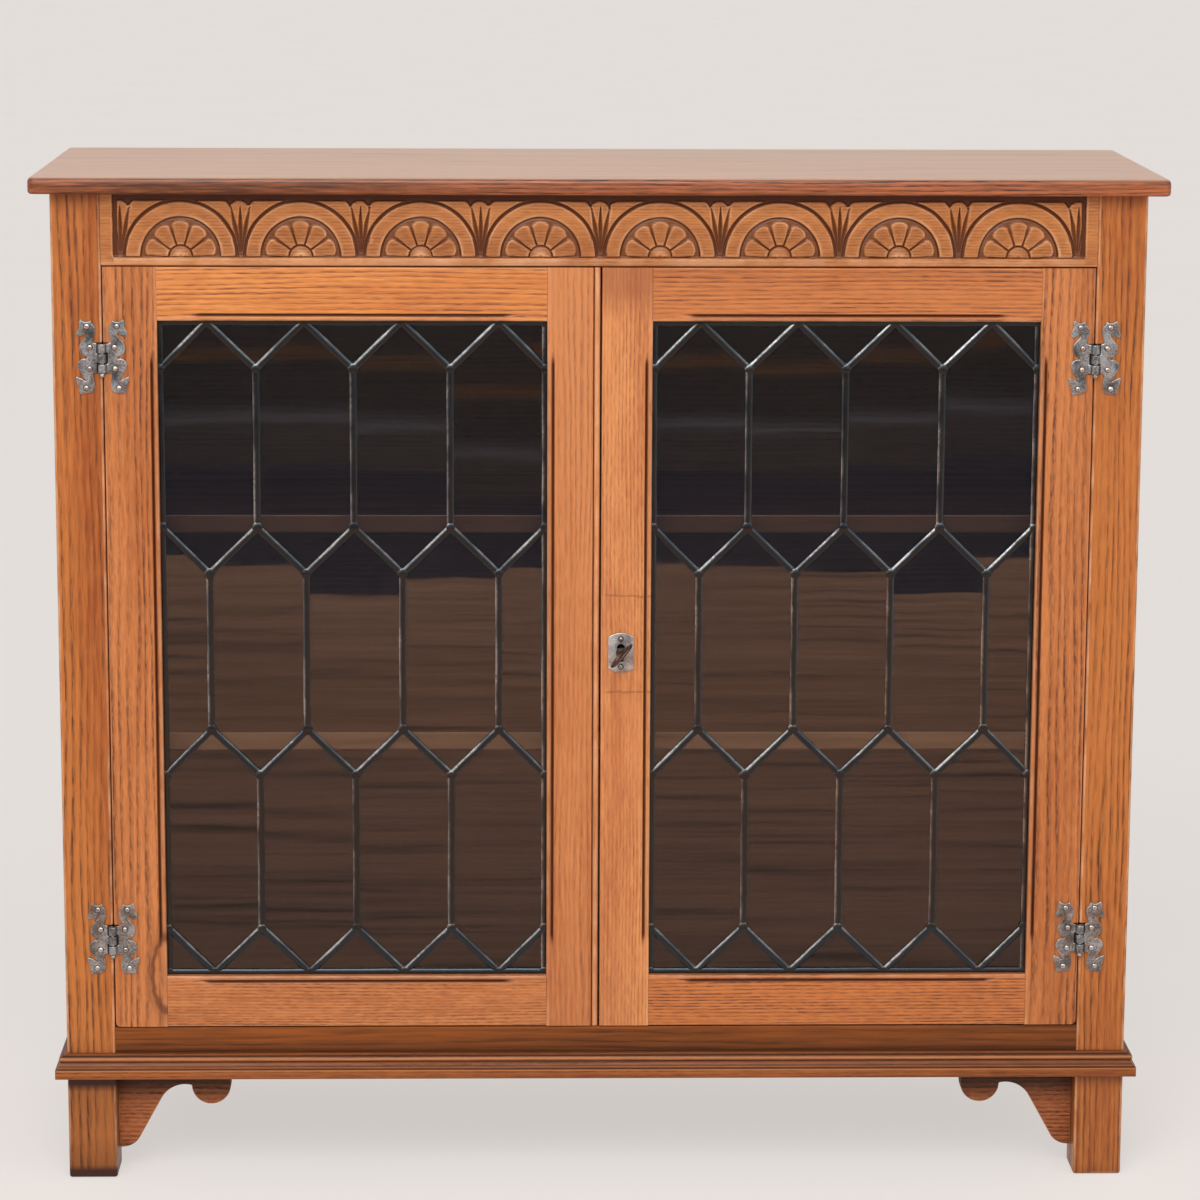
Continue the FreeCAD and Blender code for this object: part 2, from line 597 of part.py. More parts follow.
def bolt_plate(tip, way):
    """The plate and two guides that hold a door bolt, and the four screws through its corners."""
    near = tip - way * BOLT_PLATE_FROM_TIP
    far = near - way * BOLT_PLATE_LENGTH
    low, high = min(near, far), max(near, far)
    half = BOLT_PLATE_WIDTH / 2
    back = DOOR_THICKNESS + BOLT_PLATE_THICKNESS
    pieces = [block(DOOR_BOLT_X - half, DOOR_BOLT_X + half, DOOR_THICKNESS, back, low, high)]
    x0, x1 = DOOR_BOLT_X - GUIDE_WIDTH / 2, DOOR_BOLT_X + GUIDE_WIDTH / 2
    guide_back = DOOR_THICKNESS + GUIDE_DEPTH
    inset = SCREW_HEAD_RADIUS * 2 + 1
    for z in (low + inset, high - inset - GUIDE_LENGTH):
        pieces.append(block(x0, x1, DOOR_THICKNESS, guide_back, z, z + GUIDE_LENGTH))
    start = (DOOR_BOLT_X, DOOR_THICKNESS + ROD_AXIS_OUT, low - 1)
    bore = rod(start, (0, 0, 1), ROD_RADIUS + PIN_CLEARANCE, high - low + 2)
    side = half - SCREW_HEAD_RADIUS - 0.6
    edge = SCREW_HEAD_RADIUS + 0.6
    screws = []
    for x in (DOOR_BOLT_X - side, DOOR_BOLT_X + side):
        screws += [screw(x, back, low + edge), screw(x, back, high - edge)]
    return fuse_all(pieces).cut(bore).cut(Part.makeCompound(screws)), screws


def lock_keep():
    """The box on the left door that takes the lock's bolt, and its two screws."""
    right = LEFT_CLOSING_EDGE - 1.0
    left = right - KEEP_WIDTH
    back = DOOR_THICKNESS + KEEP_DEPTH
    seat = DOOR_THICKNESS + KEEP_WALL
    nose_low, nose_high = KEY_Z + BOLT_NOSE[0] - 1, KEY_Z + BOLT_NOSE[1] + 1
    low, high = nose_low - KEEP_WALL, nose_high + KEEP_WALL
    flange = block(left, right, DOOR_THICKNESS, seat, low - KEEP_FLANGE, high + KEEP_FLANGE)
    box = block(left, right, DOOR_THICKNESS, back, low, high)
    pocket = block(left + KEEP_WALL, right + 1, seat, back - KEEP_WALL, nose_low, nose_high)
    x = (left + right) / 2
    screws = [screw(x, seat, low - KEEP_FLANGE / 2), screw(x, seat, high + KEEP_FLANGE / 2)]
    return fuse_all([flange, box]).cut(pocket).cut(Part.makeCompound(screws)), screws


def escutcheon_outline():
    """The plate's outline: straight sides with a low arch above and below."""
    half, shoulder, height = ESCUTCHEON_HALF_WIDTH, ESCUTCHEON_SHOULDER, ESCUTCHEON_HALF_HEIGHT
    at = lambda x, z: Vector(KEY_X + x, 0, ESCUTCHEON_CENTRE + z)
    edges = [
        line(at(-half, -shoulder), at(-half, shoulder)),
        arc(at(-half, shoulder), at(0, height), at(half, shoulder)),
        line(at(half, shoulder), at(half, -shoulder)),
        arc(at(half, -shoulder), at(0, -height), at(-half, -shoulder)),
    ]
    return Part.Face(Part.Wire(edges))


def keyhole(y0, y1):
    """The hole for the key: round above, with a slot below for the bit, in which the worn key hangs."""
    half, middle = KEYHOLE_SLOT / 2, KEY_Z + KEYHOLE_RISE
    slot = block(KEY_X - half, KEY_X + half, y0, y1, KEY_Z - KEYHOLE_DROP, middle)
    return rod((KEY_X, y0, middle), (0, 1, 0), KEYHOLE_RADIUS, y1 - y0).fuse(slot)


def escutcheon():
    """The plate round the keyhole, and the two pins that hold it."""
    pins = []
    for way in (-1, 1):
        z = ESCUTCHEON_CENTRE + way * ESCUTCHEON_PIN
        front = -ESCUTCHEON_THICKNESS
        pins.append(domed_nail(KEY_X, front, z, ESCUTCHEON_PIN_RADIUS, NAIL_HEIGHT, NAIL_DEPTH))
    plate = escutcheon_outline().extrude(Vector(0, -ESCUTCHEON_THICKNESS, 0))
    return plate.cut(keyhole(-ESCUTCHEON_THICKNESS - 1, 1)).cut(Part.makeCompound(pins)), pins


def key():
    """The key in the lock: an oval bow, a collar, a shank and a bit, turned to the upper right."""
    shank = rod((0, -KEY_NECK - BOW_RIM / 2, 0), (0, 1, 0), KEY_SHANK_RADIUS, KEY_NECK + BOW_RIM / 2 + KEY_TIP)
    collar = rod((0, -KEY_NECK, 0), (0, 1, 0), KEY_COLLAR_RADIUS, KEY_COLLAR_LENGTH)
    bit = block(-BIT_THICKNESS / 2, BIT_THICKNESS / 2, BIT_FRONT, BIT_BACK, 0, BIT_RADIUS)
    centre = Vector(-BOW_THICKNESS / 2, -KEY_NECK - BOW_LENGTH / 2, 0)
    rings = []
    for inset in (0, BOW_RIM):
        major, minor = BOW_HALF_WIDTH - inset, BOW_LENGTH / 2 - inset
        tip = centre + Vector(0, 0, major)
        side = centre + Vector(0, minor, 0)
        rings.append(Part.Face(Part.Wire(Part.Ellipse(tip, side, centre).toShape())))
    bow = rings[0].cut(rings[1]).extrude(Vector(BOW_THICKNESS, 0, 0))
    opening = rings[1].extrude(Vector(BOW_THICKNESS, 0, 0))
    solid = fuse_all([shank.cut(opening), collar, bit, bow])
    solid.rotate(Vector(0, 0, 0), Vector(0, 1, 0), KEY_TILT)
    return moved(solid, x=KEY_X, z=KEY_Z)


def lock_bolt():
    """The bolt above the key. The bit works in the talon below it, and a slot rides on the case's stump."""
    nose = RIGHT_CLOSING_EDGE + 0.5
    shoulder = RIGHT_CLOSING_EDGE + LOCK_WALL + BOLT_CLEARANCE + BOLT_TRAVEL
    low, high = (KEY_Z + height for height in BOLT_NOSE)
    body = block(shoulder, BOLT_TAIL, BOLT_FRONT, BOLT_BACK, KEY_Z + BOLT_BELOW, KEY_Z + BOLT_ABOVE)
    tongue = block(nose, shoulder, BOLT_FRONT, BOLT_BACK, low, high)
    talon_left = KEY_X + (BOLT_TRAVEL - TALON_WIDTH) / 2
    talon = block(talon_left, talon_left + TALON_WIDTH, BOLT_FRONT, BOLT_BACK, KEY_Z, KEY_Z + TALON_TOP)
    radius = STUMP_RADIUS + BOLT_CLEARANCE
    x, z = KEY_X + STUMP_OFFSET[0], KEY_Z + STUMP_OFFSET[1]
    slot = block(x - radius, x + BOLT_TRAVEL + radius, BOLT_FRONT, BOLT_BACK, z - radius, z + radius)
    return fuse_all([body, tongue]).cut(talon).cut(slot)


def lock_case():
    """The lock's box behind the right door's meeting stile, and its four screws."""
    left, right = RIGHT_CLOSING_EDGE, RIGHT_CLOSING_EDGE + LOCK_WIDTH
    low, high = KEY_Z - LOCK_BELOW_KEY, KEY_Z + LOCK_ABOVE_KEY
    back = DOOR_THICKNESS + LOCK_DEPTH
    floor = back - LOCK_WALL
    box = block(left, right, DOOR_THICKNESS, back, low, high)
    inside = block(
        left + LOCK_WALL, right - LOCK_WALL, DOOR_THICKNESS - 1, floor, low + LOCK_WALL, high - LOCK_WALL,
    )
    window = block(
        left - 1, left + LOCK_WALL + 1, BOLT_FRONT - BOLT_CLEARANCE, BOLT_BACK + BOLT_CLEARANCE,
        KEY_Z + BOLT_NOSE[0] - BOLT_CLEARANCE, KEY_Z + BOLT_NOSE[1] + BOLT_CLEARANCE,
    )
    stump_end = (KEY_X + STUMP_OFFSET[0], BOLT_FRONT, KEY_Z + STUMP_OFFSET[1])
    stump = rod(stump_end, (0, 1, 0), STUMP_RADIUS, floor - BOLT_FRONT)
    shank_hole = rod((KEY_X, floor - 1, KEY_Z), (0, 1, 0), KEY_SHANK_RADIUS + PIN_CLEARANCE, LOCK_WALL + 2)
    inset = LOCK_WALL + SCREW_HEAD_RADIUS + 0.4
    screws = []
    for x in (left + inset, right - inset):
        for z in (low + inset, high - inset):
            shank = rod((x, back, z), (0, -1, 0), SCREW_RADIUS, LOCK_DEPTH + SCREW_DEPTH)
            screws.append(shank.fuse(rod((x, back, z), (0, 1, 0), SCREW_HEAD_RADIUS, SCREW_HEAD_HEIGHT)))
    case = box.cut(inside).cut(window).fuse(stump).cut(shank_hole)
    return case.cut(Part.makeCompound(screws)), screws


def stopped_groove_along_rail(x0, x1, z):
    """A cutter for the scratched groove beside the glass, tapering out before the corners."""
    outline = [(x0, -0.2), (x0 + GROOVE_RUNOUT, GROOVE_DEPTH), (x1 - GROOVE_RUNOUT, GROOVE_DEPTH), (x1, -0.2)]
    corners = [Vector(x, y, z - GROOVE_WIDTH / 2) for x, y in outline]
    return Part.Face(Part.makePolygon(corners + corners[:1])).extrude(Vector(0, 0, GROOVE_WIDTH))


def stopped_groove_along_stile(z0, z1, x):
    outline = [(z0, -0.2), (z0 + GROOVE_RUNOUT, GROOVE_DEPTH), (z1 - GROOVE_RUNOUT, GROOVE_DEPTH), (z1, -0.2)]
    corners = [Vector(x - GROOVE_WIDTH / 2, y, z) for z, y in outline]
    return Part.Face(Part.makePolygon(corners + corners[:1])).extrude(Vector(GROOVE_WIDTH, 0, 0))


def inset_polygon(points, distance):
    """A convex outline, listed anticlockwise, with every side moved inwards."""
    moved_sides = []
    for (ax, az), (bx, bz) in zip(points, points[1:] + points[:1]):
        length = math.hypot(bx - ax, bz - az)
        nx, nz = -(bz - az) / length, (bx - ax) / length
        moved_sides.append((ax + nx * distance, az + nz * distance, bx - ax, bz - az))
    result = []
    for (px, pz, dx, dz), (qx, qz, ex, ez) in zip(moved_sides[-1:] + moved_sides[:-1], moved_sides):
        t = ((qx - px) * ez - (qz - pz) * ex) / (dx * ez - dz * ex)
        result.append((px + t * dx, pz + t * dz))
    return result


def quarry_outlines(x0, x1):
    """The pane outlines between came centre lines, each listed anticlockwise."""
    left, right = x0 + BORDER_LINE_INSET, x1 - BORDER_LINE_INSET
    pitch = (x1 - x0) / COLUMNS
    seams = [left] + [x0 + i * pitch for i in range(1, COLUMNS)] + [right]
    peaks = [x0 + (i + 0.5) * pitch for i in range(COLUMNS)]
    top, bottom = SIGHT_TOP - BORDER_LINE_INSET, SIGHT_BOTTOM + BORDER_LINE_INSET
    upright = (top - bottom - 4 * ZIGZAG_RISE) / 3
    levels = [top]
    for drop in (ZIGZAG_RISE, upright, ZIGZAG_RISE, upright, ZIGZAG_RISE, upright, ZIGZAG_RISE):
        levels.append(levels[-1] - drop)
    panes = []
    for a, b, c, d in ((0, 1, 2, 3), (4, 5, 6, 7)):
        for i, peak in enumerate(peaks):
            l, r = seams[i], seams[i + 1]
            panes.append([(peak, levels[a]), (l, levels[b]), (l, levels[c]), (peak, levels[d]),
                          (r, levels[c]), (r, levels[b])])
    for seam, l, r in zip(seams[1:-1], peaks, peaks[1:]):
        panes.append([(seam, levels[2]), (l, levels[3]), (l, levels[4]), (seam, levels[5]),
                      (r, levels[4]), (r, levels[3])])
        panes.append([(l, top), (seam, levels[1]), (r, top)])
        panes.append([(l, bottom), (r, bottom), (seam, levels[6])])
    for edge, peak in ((left, peaks[0]), (right, peaks[-1])):
        half = [(edge, levels[2]), (edge, levels[5]), (peak, levels[4]), (peak, levels[3])]
        upper = [(edge, top), (edge, levels[1]), (peak, top)]
        lower = [(edge, bottom), (peak, bottom), (edge, levels[6])]
        panes += [half, upper, lower] if edge == left else [half[::-1], upper[::-1], lower[::-1]]
    return panes


def leaded_light(x0, x1):
    """The lead lattice of one door and the glass quarries in its channels."""
    front = REBATE_FRONT
    back = front + CAME_THICKNESS
    glass_front = front + GLASS_SETBACK
    glass_back = glass_front + GLASS_THICKNESS
    hidden = BORDER_HIDDEN
    plate = block(x0 - hidden, x1 + hidden, front, back, SIGHT_BOTTOM - hidden, SIGHT_TOP + hidden)
    openings, glass = [], []
    for outline in quarry_outlines(x0, x1):
        openings.append(front_prism(inset_polygon(outline, CAME_WIDTH / 2), front - 1, back + 1))
        glass.append(front_prism(inset_polygon(outline, CAME_HEART / 2), glass_front, glass_back))
    return plate.cut(Part.makeCompound(openings)).cut(Part.makeCompound(glass)), Part.makeCompound(glass)


def glazing_beads(x0, x1):
    """Four strips that fill the rebate behind the leaded light."""
    front, back = REBATE_FRONT + CAME_THICKNESS, DOOR_THICKNESS
    w = REBATE_WIDTH
    return Part.makeCompound([
        block(x0 - w, x1 + w, front, back, SIGHT_TOP, SIGHT_TOP + w),
        block(x0 - w, x1 + w, front, back, SIGHT_BOTTOM - w, SIGHT_BOTTOM),
        block(x0 - w, x0, front, back, SIGHT_BOTTOM, SIGHT_TOP),
        block(x1, x1 + w, front, back, SIGHT_BOTTOM, SIGHT_TOP),
    ])


def door_rails(x0, x1):
    """The top and bottom rails of one door, and the bars whose ends are their tenons in the stiles."""
    front, reach, shoulder = DOOR_TENON_FRONT, DOOR_TENON_LENGTH, DOOR_TENON_SHOULDER
    back = front + DOOR_TENON_THICKNESS
    rails, bars = [], []
    for z0, z1, groove_height in (
        (SIGHT_TOP, DOOR_TOP, SIGHT_TOP + GROOVE_FROM_SIGHT),
        (DOOR_BOTTOM, SIGHT_BOTTOM, SIGHT_BOTTOM - GROOVE_FROM_SIGHT),
    ):
        body = soft_block(x0, x1, 0, DOOR_THICKNESS, z0, z1, ALONG_X)
        bar = block(x0 - reach, x1 + reach, front, back, z0 + shoulder, z1 - shoulder)
        groove = stopped_groove_along_rail(x0 + GROOVE_STOP, x1 - GROOVE_STOP, groove_height)
        rails.append(body.fuse(bar).cut(groove))
        bars.append(bar)
    return rails, bars


def door_frame(side, closing_edge):
    """The four members of a door: hinge stile, meeting stile, top rail and bottom rail. Side is -1 or 1."""
    x0, x1 = sorted((side * SIGHT_OUTER, side * SIGHT_INNER))
    rails, bars = door_rails(x0, x1)
    rebate = block(
        x0 - REBATE_WIDTH, x1 + REBATE_WIDTH, REBATE_FRONT, DOOR_THICKNESS + 1,
        SIGHT_BOTTOM - REBATE_WIDTH, SIGHT_TOP + REBATE_WIDTH,
    )
    stiles = []
    for sight, edge in ((side * SIGHT_OUTER, side * DOOR_HINGE_EDGE), (side * SIGHT_INNER, closing_edge)):
        low, high = sorted((sight, edge))
        away = math.copysign(GROOVE_FROM_SIGHT, edge - sight)
        stile = soft_block(low, high, 0, DOOR_THICKNESS, DOOR_BOTTOM, DOOR_TOP, ALONG_Z)
        groove = stopped_groove_along_stile(SIGHT_BOTTOM + GROOVE_STOP, SIGHT_TOP - GROOVE_STOP, sight + away)
        stiles.append(stile.cut(Part.makeCompound(bars)).cut(rebate).cut(groove))
    return [stiles[0], stiles[1], rails[0].cut(rebate), rails[1].cut(rebate)]


# Save the carcass

LEFT_NAIL_CUT = Part.makeCompound(LEFT_POST_NAILS)
PANEL_LEFT = side_panel()
BACK = back_panel()

front_post = soft_block(-HALF_WIDTH, -OPENING, 0, FRONT_POST_DEPTH, 0, CARCASS_TOP, ALONG_Z)
for section in (FRIEZE_SECTION, BOTTOM_RAIL_SECTION):
    front_post = front_post.cut(tenon_bar(*section))
front_post = front_post.cut(PANEL_LEFT).cut(LEFT_NAIL_CUT)
rear_post = soft_block(-HALF_WIDTH, -OPENING, REAR_POST_FRONT, CARCASS_DEPTH, 0, CARCASS_TOP, ALONG_Z)
for section in (REAR_TOP_SECTION, REAR_BOTTOM_SECTION):
    rear_post = rear_post.cut(tenon_bar(*section))
rear_post = rear_post.cut(PANEL_LEFT).cut(BACK)

pegs = shelf_pegs()
left_panel = PANEL_LEFT.cut(Part.makeCompound(pegs))

save("top_board", top_board())
save("front_post_left", front_post)
save("front_post_right", mirrored(front_post))
save("rear_post_left", rear_post)
save("rear_post_right", mirrored(rear_post))
save("side_panel_left", left_panel)
save("side_panel_right", mirrored(left_panel))
save("back_panel", BACK)
save("frieze_rail", frieze_rail())
save("bottom_rail", bottom_rail())
save("rear_top_rail", cross_rail(*REAR_TOP_SECTION))
save("rear_bottom_rail", cross_rail(*REAR_BOTTOM_SECTION))
save("shelf_pegs", Part.makeCompound(pegs))
for name, underside in SHELF_UNDERSIDES.items():
    save(name, notched_board(SHELF_FRONT, underside, underside + SHELF_THICKNESS))
save("base_moulding_front", front_moulding())
save("base_moulding_left", left_moulding())
save("base_moulding_right", mirrored(left_moulding()))
save("bracket_left", left_bracket())
save("bracket_right", mirrored(left_bracket()))

# Boards that the left door's bolts go into: each hole is deeper than the bolt's travel

rod_y = DOOR_THICKNESS + ROD_AXIS_OUT
hole_depth = ROD_TRAVEL + 3.0
upper_hole = rod((DOOR_BOLT_X, rod_y, STOP_BOTTOM - 1), (0, 0, 1), ROD_HOLE_RADIUS, hole_depth + 1)
lower_hole = rod((DOOR_BOLT_X, rod_y, BOTTOM_BOARD_TOP + 1), (0, 0, -1), ROD_HOLE_RADIUS, hole_depth + 1)
save("door_stop", door_stop().cut(upper_hole))
save("bottom_board", notched_board(BOARD_FRONT, BOTTOM_BOARD_UNDERSIDE, BOTTOM_BOARD_TOP).cut(lower_hole))

# Save the hinges

pins = []
for place, height in HINGE_HEIGHTS.items():
    post_leaf = moved(POST_LEAF, x=-OPENING, z=height)
    door_leaf = moved(DOOR_LEAF, x=-OPENING, z=height)
    pin = moved(hinge_pin(), x=-OPENING, z=height)
    pins += [pin, mirrored(pin)]
    save(f"hinge_{place}_left_post_leaf", post_leaf)
    save(f"hinge_{place}_right_post_leaf", mirrored(post_leaf))
    save(f"hinge_{place}_left_door_leaf", door_leaf)
    save(f"hinge_{place}_right_door_leaf", mirrored(door_leaf))
save("hinge_pins", Part.makeCompound(pins))
save("post_hinge_nails", Part.makeCompound(LEFT_POST_NAILS + [mirrored(nail) for nail in LEFT_POST_NAILS]))
save("left_door_hinge_nails", Part.makeCompound(LEFT_DOOR_NAILS))
save("right_door_hinge_nails", Part.makeCompound([mirrored(nail) for nail in LEFT_DOOR_NAILS]))

# Save the left door with its bolts and the lock's keep

upper_tip = STOP_BOTTOM - ROD_TIP_GAP
lower_tip = BOTTOM_BOARD_TOP + ROD_TIP_GAP
upper_plate, upper_screws = bolt_plate(upper_tip, 1)
lower_plate, lower_screws = bolt_plate(lower_tip, -1)
keep, keep_screws = lock_keep()
left_screws = upper_screws + lower_screws + keep_screws
left_frame = door_frame(-1, LEFT_CLOSING_EDGE)
quirk = block(
    LEFT_CLOSING_EDGE - CLOSING_BEAD_WIDTH - QUIRK_WIDTH, LEFT_CLOSING_EDGE - CLOSING_BEAD_WIDTH,
    -1, QUIRK_DEPTH, DOOR_BOTTOM - 1, DOOR_TOP + 1,
)
save("left_door_hinge_stile", left_frame[0].cut(Part.makeCompound(LEFT_DOOR_NAILS)))
save("left_door_meeting_stile", left_frame[1].cut(quirk).cut(Part.makeCompound(left_screws)))
save("left_door_top_rail", left_frame[2])
save("left_door_bottom_rail", left_frame[3])
left_leads, left_glass = leaded_light(-SIGHT_OUTER, -SIGHT_INNER)
save("left_door_leads", left_leads)
save("left_door_glass", left_glass)
save("left_door_glazing_beads", glazing_beads(-SIGHT_OUTER, -SIGHT_INNER))
save("upper_bolt_plate", upper_plate)
save("lower_bolt_plate", lower_plate)
save("upper_door_bolt", door_bolt(upper_tip, 1))
save("lower_door_bolt", door_bolt(lower_tip, -1))
save("lock_keep", keep)
save("left_door_screws", Part.makeCompound(left_screws))

# Save the right door with its lock and key

right_frame = door_frame(1, RIGHT_CLOSING_EDGE)
plate, plate_pins = escutcheon()
case, case_screws = lock_case()
right_nails = Part.makeCompound([mirrored(nail) for nail in LEFT_DOOR_NAILS])
lock_cut = Part.makeCompound(case_screws + plate_pins)
save("right_door_hinge_stile", right_frame[0].cut(right_nails))
save("right_door_meeting_stile", right_frame[1].cut(keyhole(-1, DOOR_THICKNESS + 1)).cut(lock_cut))
save("right_door_top_rail", right_frame[2])
save("right_door_bottom_rail", right_frame[3])
right_leads, right_glass = leaded_light(SIGHT_INNER, SIGHT_OUTER)
save("right_door_leads", right_leads)
save("right_door_glass", right_glass)
save("right_door_glazing_beads", glazing_beads(SIGHT_INNER, SIGHT_OUTER))
save("escutcheon", plate)
save("escutcheon_pins", Part.makeCompound(plate_pins))
save("lock_case", case)
save("lock_screws", Part.makeCompound(case_screws))
save("lock_bolt", lock_bolt())
save("key", key())
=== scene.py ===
# %% [markdown]
# # A glazed oak cabinet
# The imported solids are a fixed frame: they already give every piece its size and its place, in metres.
# This lesson dresses them. Pieces whose edges, carving or roundness matter to the eye are modelled again
# on top of the frame, and the others keep their solids and only get a finish.

# %% The frame
import json
import math
import random

import bmesh
import bpy
from mathutils import Matrix, Vector, noise

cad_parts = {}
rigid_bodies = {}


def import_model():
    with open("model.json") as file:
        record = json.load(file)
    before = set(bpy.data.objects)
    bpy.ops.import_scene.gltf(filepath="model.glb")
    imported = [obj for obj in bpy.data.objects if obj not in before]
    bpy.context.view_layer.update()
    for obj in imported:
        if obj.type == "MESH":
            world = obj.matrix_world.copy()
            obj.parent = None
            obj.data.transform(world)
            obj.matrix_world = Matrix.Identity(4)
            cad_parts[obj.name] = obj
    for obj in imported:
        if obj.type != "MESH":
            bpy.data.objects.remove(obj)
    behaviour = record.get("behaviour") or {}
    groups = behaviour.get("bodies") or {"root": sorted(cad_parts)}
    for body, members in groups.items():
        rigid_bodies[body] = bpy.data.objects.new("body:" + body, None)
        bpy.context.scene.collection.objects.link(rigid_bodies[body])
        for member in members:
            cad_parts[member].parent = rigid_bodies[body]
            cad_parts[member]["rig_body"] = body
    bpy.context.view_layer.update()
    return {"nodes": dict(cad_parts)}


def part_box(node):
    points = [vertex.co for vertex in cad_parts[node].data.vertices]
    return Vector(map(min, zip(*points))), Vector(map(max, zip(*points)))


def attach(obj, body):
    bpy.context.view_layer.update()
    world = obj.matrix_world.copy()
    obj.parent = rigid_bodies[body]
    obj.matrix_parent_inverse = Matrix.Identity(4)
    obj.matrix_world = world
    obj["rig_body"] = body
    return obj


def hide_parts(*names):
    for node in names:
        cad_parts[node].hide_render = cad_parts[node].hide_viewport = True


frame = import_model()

MM = 0.001
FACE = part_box("front_post_left")[0].y
print("front of the posts at y =", round(FACE, 4), "and", len(frame["nodes"]), "solids loaded")


def at(x, y, z):
    """A point in millimetres, with y measured from the front of the posts, as the frame's metres."""
    return Vector((x * MM, FACE + y * MM, z * MM))


# %% [markdown]
# ## Camera, floor and light
# The photograph was taken with a long lens from a little above the top, so its verticals nearly agree.
# The numbers come from a fit of one pinhole camera to the cabinet's corners. A long lens also keeps the
# two doors the same size.

# %% Camera
def show(name, data):
    """A new object in the scene, at the origin."""
    thing = bpy.data.objects.new(name, data)
    bpy.context.scene.collection.objects.link(thing)
    return thing


eye = bpy.data.cameras.new("long_lens")
eye.lens, eye.sensor_width, eye.clip_end = 121.48, 36, 300
camera = show("camera", eye)
camera.location = (-0.0838, -3.6232, 1.1891)
camera.rotation_euler = [math.radians(a) for a in (79.2529, -0.2446, -1.3456)]
bpy.context.scene.camera = camera
bpy.context.scene.view_settings.view_transform = "Standard"
print("camera at", tuple(round(v, 3) for v in camera.location))

# %% [markdown]
# Every material is a small tree of nodes. One helper adds a node and fills its inputs, given by name or in order:
# a value that is a node or a socket becomes a link, and any other value is set. Colours are written as sRGB hex,
# as they are read from a picture, and the renderer works in linear light, so one function converts them.

# %% Node helper and colours
def fill(tree, node, inputs):
    """Links or sets a node's inputs, from a dictionary or in order. A node stands for its first output."""
    for key, value in inputs.items() if isinstance(inputs, dict) else enumerate(inputs):
        if isinstance(value, bpy.types.Node):
            value = value.outputs[0]
        if isinstance(value, bpy.types.NodeSocket):
            tree.links.new(value, node.inputs[key])
        else:
            node.inputs[key].default_value = value


def add(tree, kind, inputs=(), **settings):
    """Adds one shader node with its settings, and fills its inputs."""
    node = tree.nodes.new("ShaderNode" + kind)
    for name, value in settings.items():
        setattr(node, name, value)
    fill(tree, node, inputs)
    return node


def colour(hex_code):
    """An sRGB hex colour as linear red, green, blue and alpha."""
    parts = [int(hex_code[i:i + 2], 16) / 255 for i in (1, 3, 5)]
    return [c / 12.92 if c <= 0.04045 else ((c + 0.055) / 1.055) ** 2.4 for c in parts] + [1.0]


print("oak honey in linear light:", [round(c, 3) for c in colour("#D08850")[:3]])

# %% [markdown]
# Three more helpers serve most materials. One starts a material, one makes a ramp of greys or colours, and one lays
# tints over a base colour where masks say so.

# %% Material helpers
def start_material(name):
    """A new material: the material, its tree, and the shader that feeds its output."""
    material = bpy.data.materials.new(name)
    material.use_nodes = True
    tree = material.node_tree
    tree.nodes.clear()
    shader = add(tree, "BsdfPrincipled")
    add(tree, "OutputMaterial", {"Surface": shader})
    return material, tree, shader


def ramp(tree, factor, *stops):
    """A colour ramp from (position, grey or hex) stops."""
    node = add(tree, "ValToRGB", {"Fac": factor})
    band = node.color_ramp
    while len(band.elements) < len(stops):
        band.elements.new(0.5)
    for element, (position, value) in zip(band.elements, stops):
        element.position = position
        element.color = colour(value) if isinstance(value, str) else (value, value, value, 1.0)
    return node


def tinted(tree, base, *marks):
    """Lays (mask, hex) marks over a base colour, one after another."""
    for mask, tint in marks:
        base = add(tree, "Mix", {0: mask, 6: base, 7: colour(tint)}, data_type="RGBA").outputs[2]
    return base


print("material helpers ready")

# %% [markdown]
# The floor is a plain pale sheet that runs far past the picture, because the camera looks slightly down and
# sees nothing above the horizon. A share of glow that only the camera and mirror-like surfaces see keeps it pale
# to the far edge, and the rest is plain paint that takes the cabinet's shadow.

# %% Floor
FLOOR_SIZE, FLOOR_DROP, GLOW_SHARE = 180.0, 0.0004, 0.6


def seen_directly(tree):
    """1 for what the camera, mirrors and glass look at, and 0 for light on its way to a surface."""
    path = add(tree, "LightPath").outputs
    seen = add(tree, "Math", (path["Is Camera Ray"], path["Is Glossy Ray"]), operation="MAXIMUM")
    return add(tree, "Math", (seen, path["Is Transmission Ray"]), operation="MAXIMUM")


def lay_sheet(name, paint, width, depth, middle):
    """A flat level sheet, in metres."""
    bm = bmesh.new()
    bmesh.ops.create_grid(bm, x_segments=1, y_segments=1, size=0.5)
    bmesh.ops.scale(bm, vec=(width, depth, 1.0), verts=bm.verts)
    bmesh.ops.translate(bm, vec=middle, verts=bm.verts)
    mesh = bpy.data.meshes.new(name)
    bm.to_mesh(mesh)
    bm.free()
    mesh.materials.append(paint)
    return show(name, mesh)


paint, tree, shader = start_material("pale_matt_floor")
mottle = add(tree, "TexNoise", {"Vector": add(tree, "TexCoord").outputs["Object"], "Scale": 3.0})
shade = ramp(tree, mottle, (0.3, "#EBE4DF"), (0.7, "#EEE8E3"))
fill(tree, shader, {"Base Color": shade, "Roughness": 0.9, "Specular IOR Level": 0.1})
glow = add(tree, "Emission", {"Color": colour("#FAF5F1")})
share = add(tree, "Math", (seen_directly(tree), GLOW_SHARE), operation="MULTIPLY")
both = add(tree, "MixShader", (share, shader, glow))
fill(tree, tree.nodes["Material Output"], {"Surface": both})
floor = lay_sheet("floor", paint, FLOOR_SIZE, FLOOR_SIZE, (0, 0, -FLOOR_DROP))
print("floor", FLOOR_SIZE, "m wide")

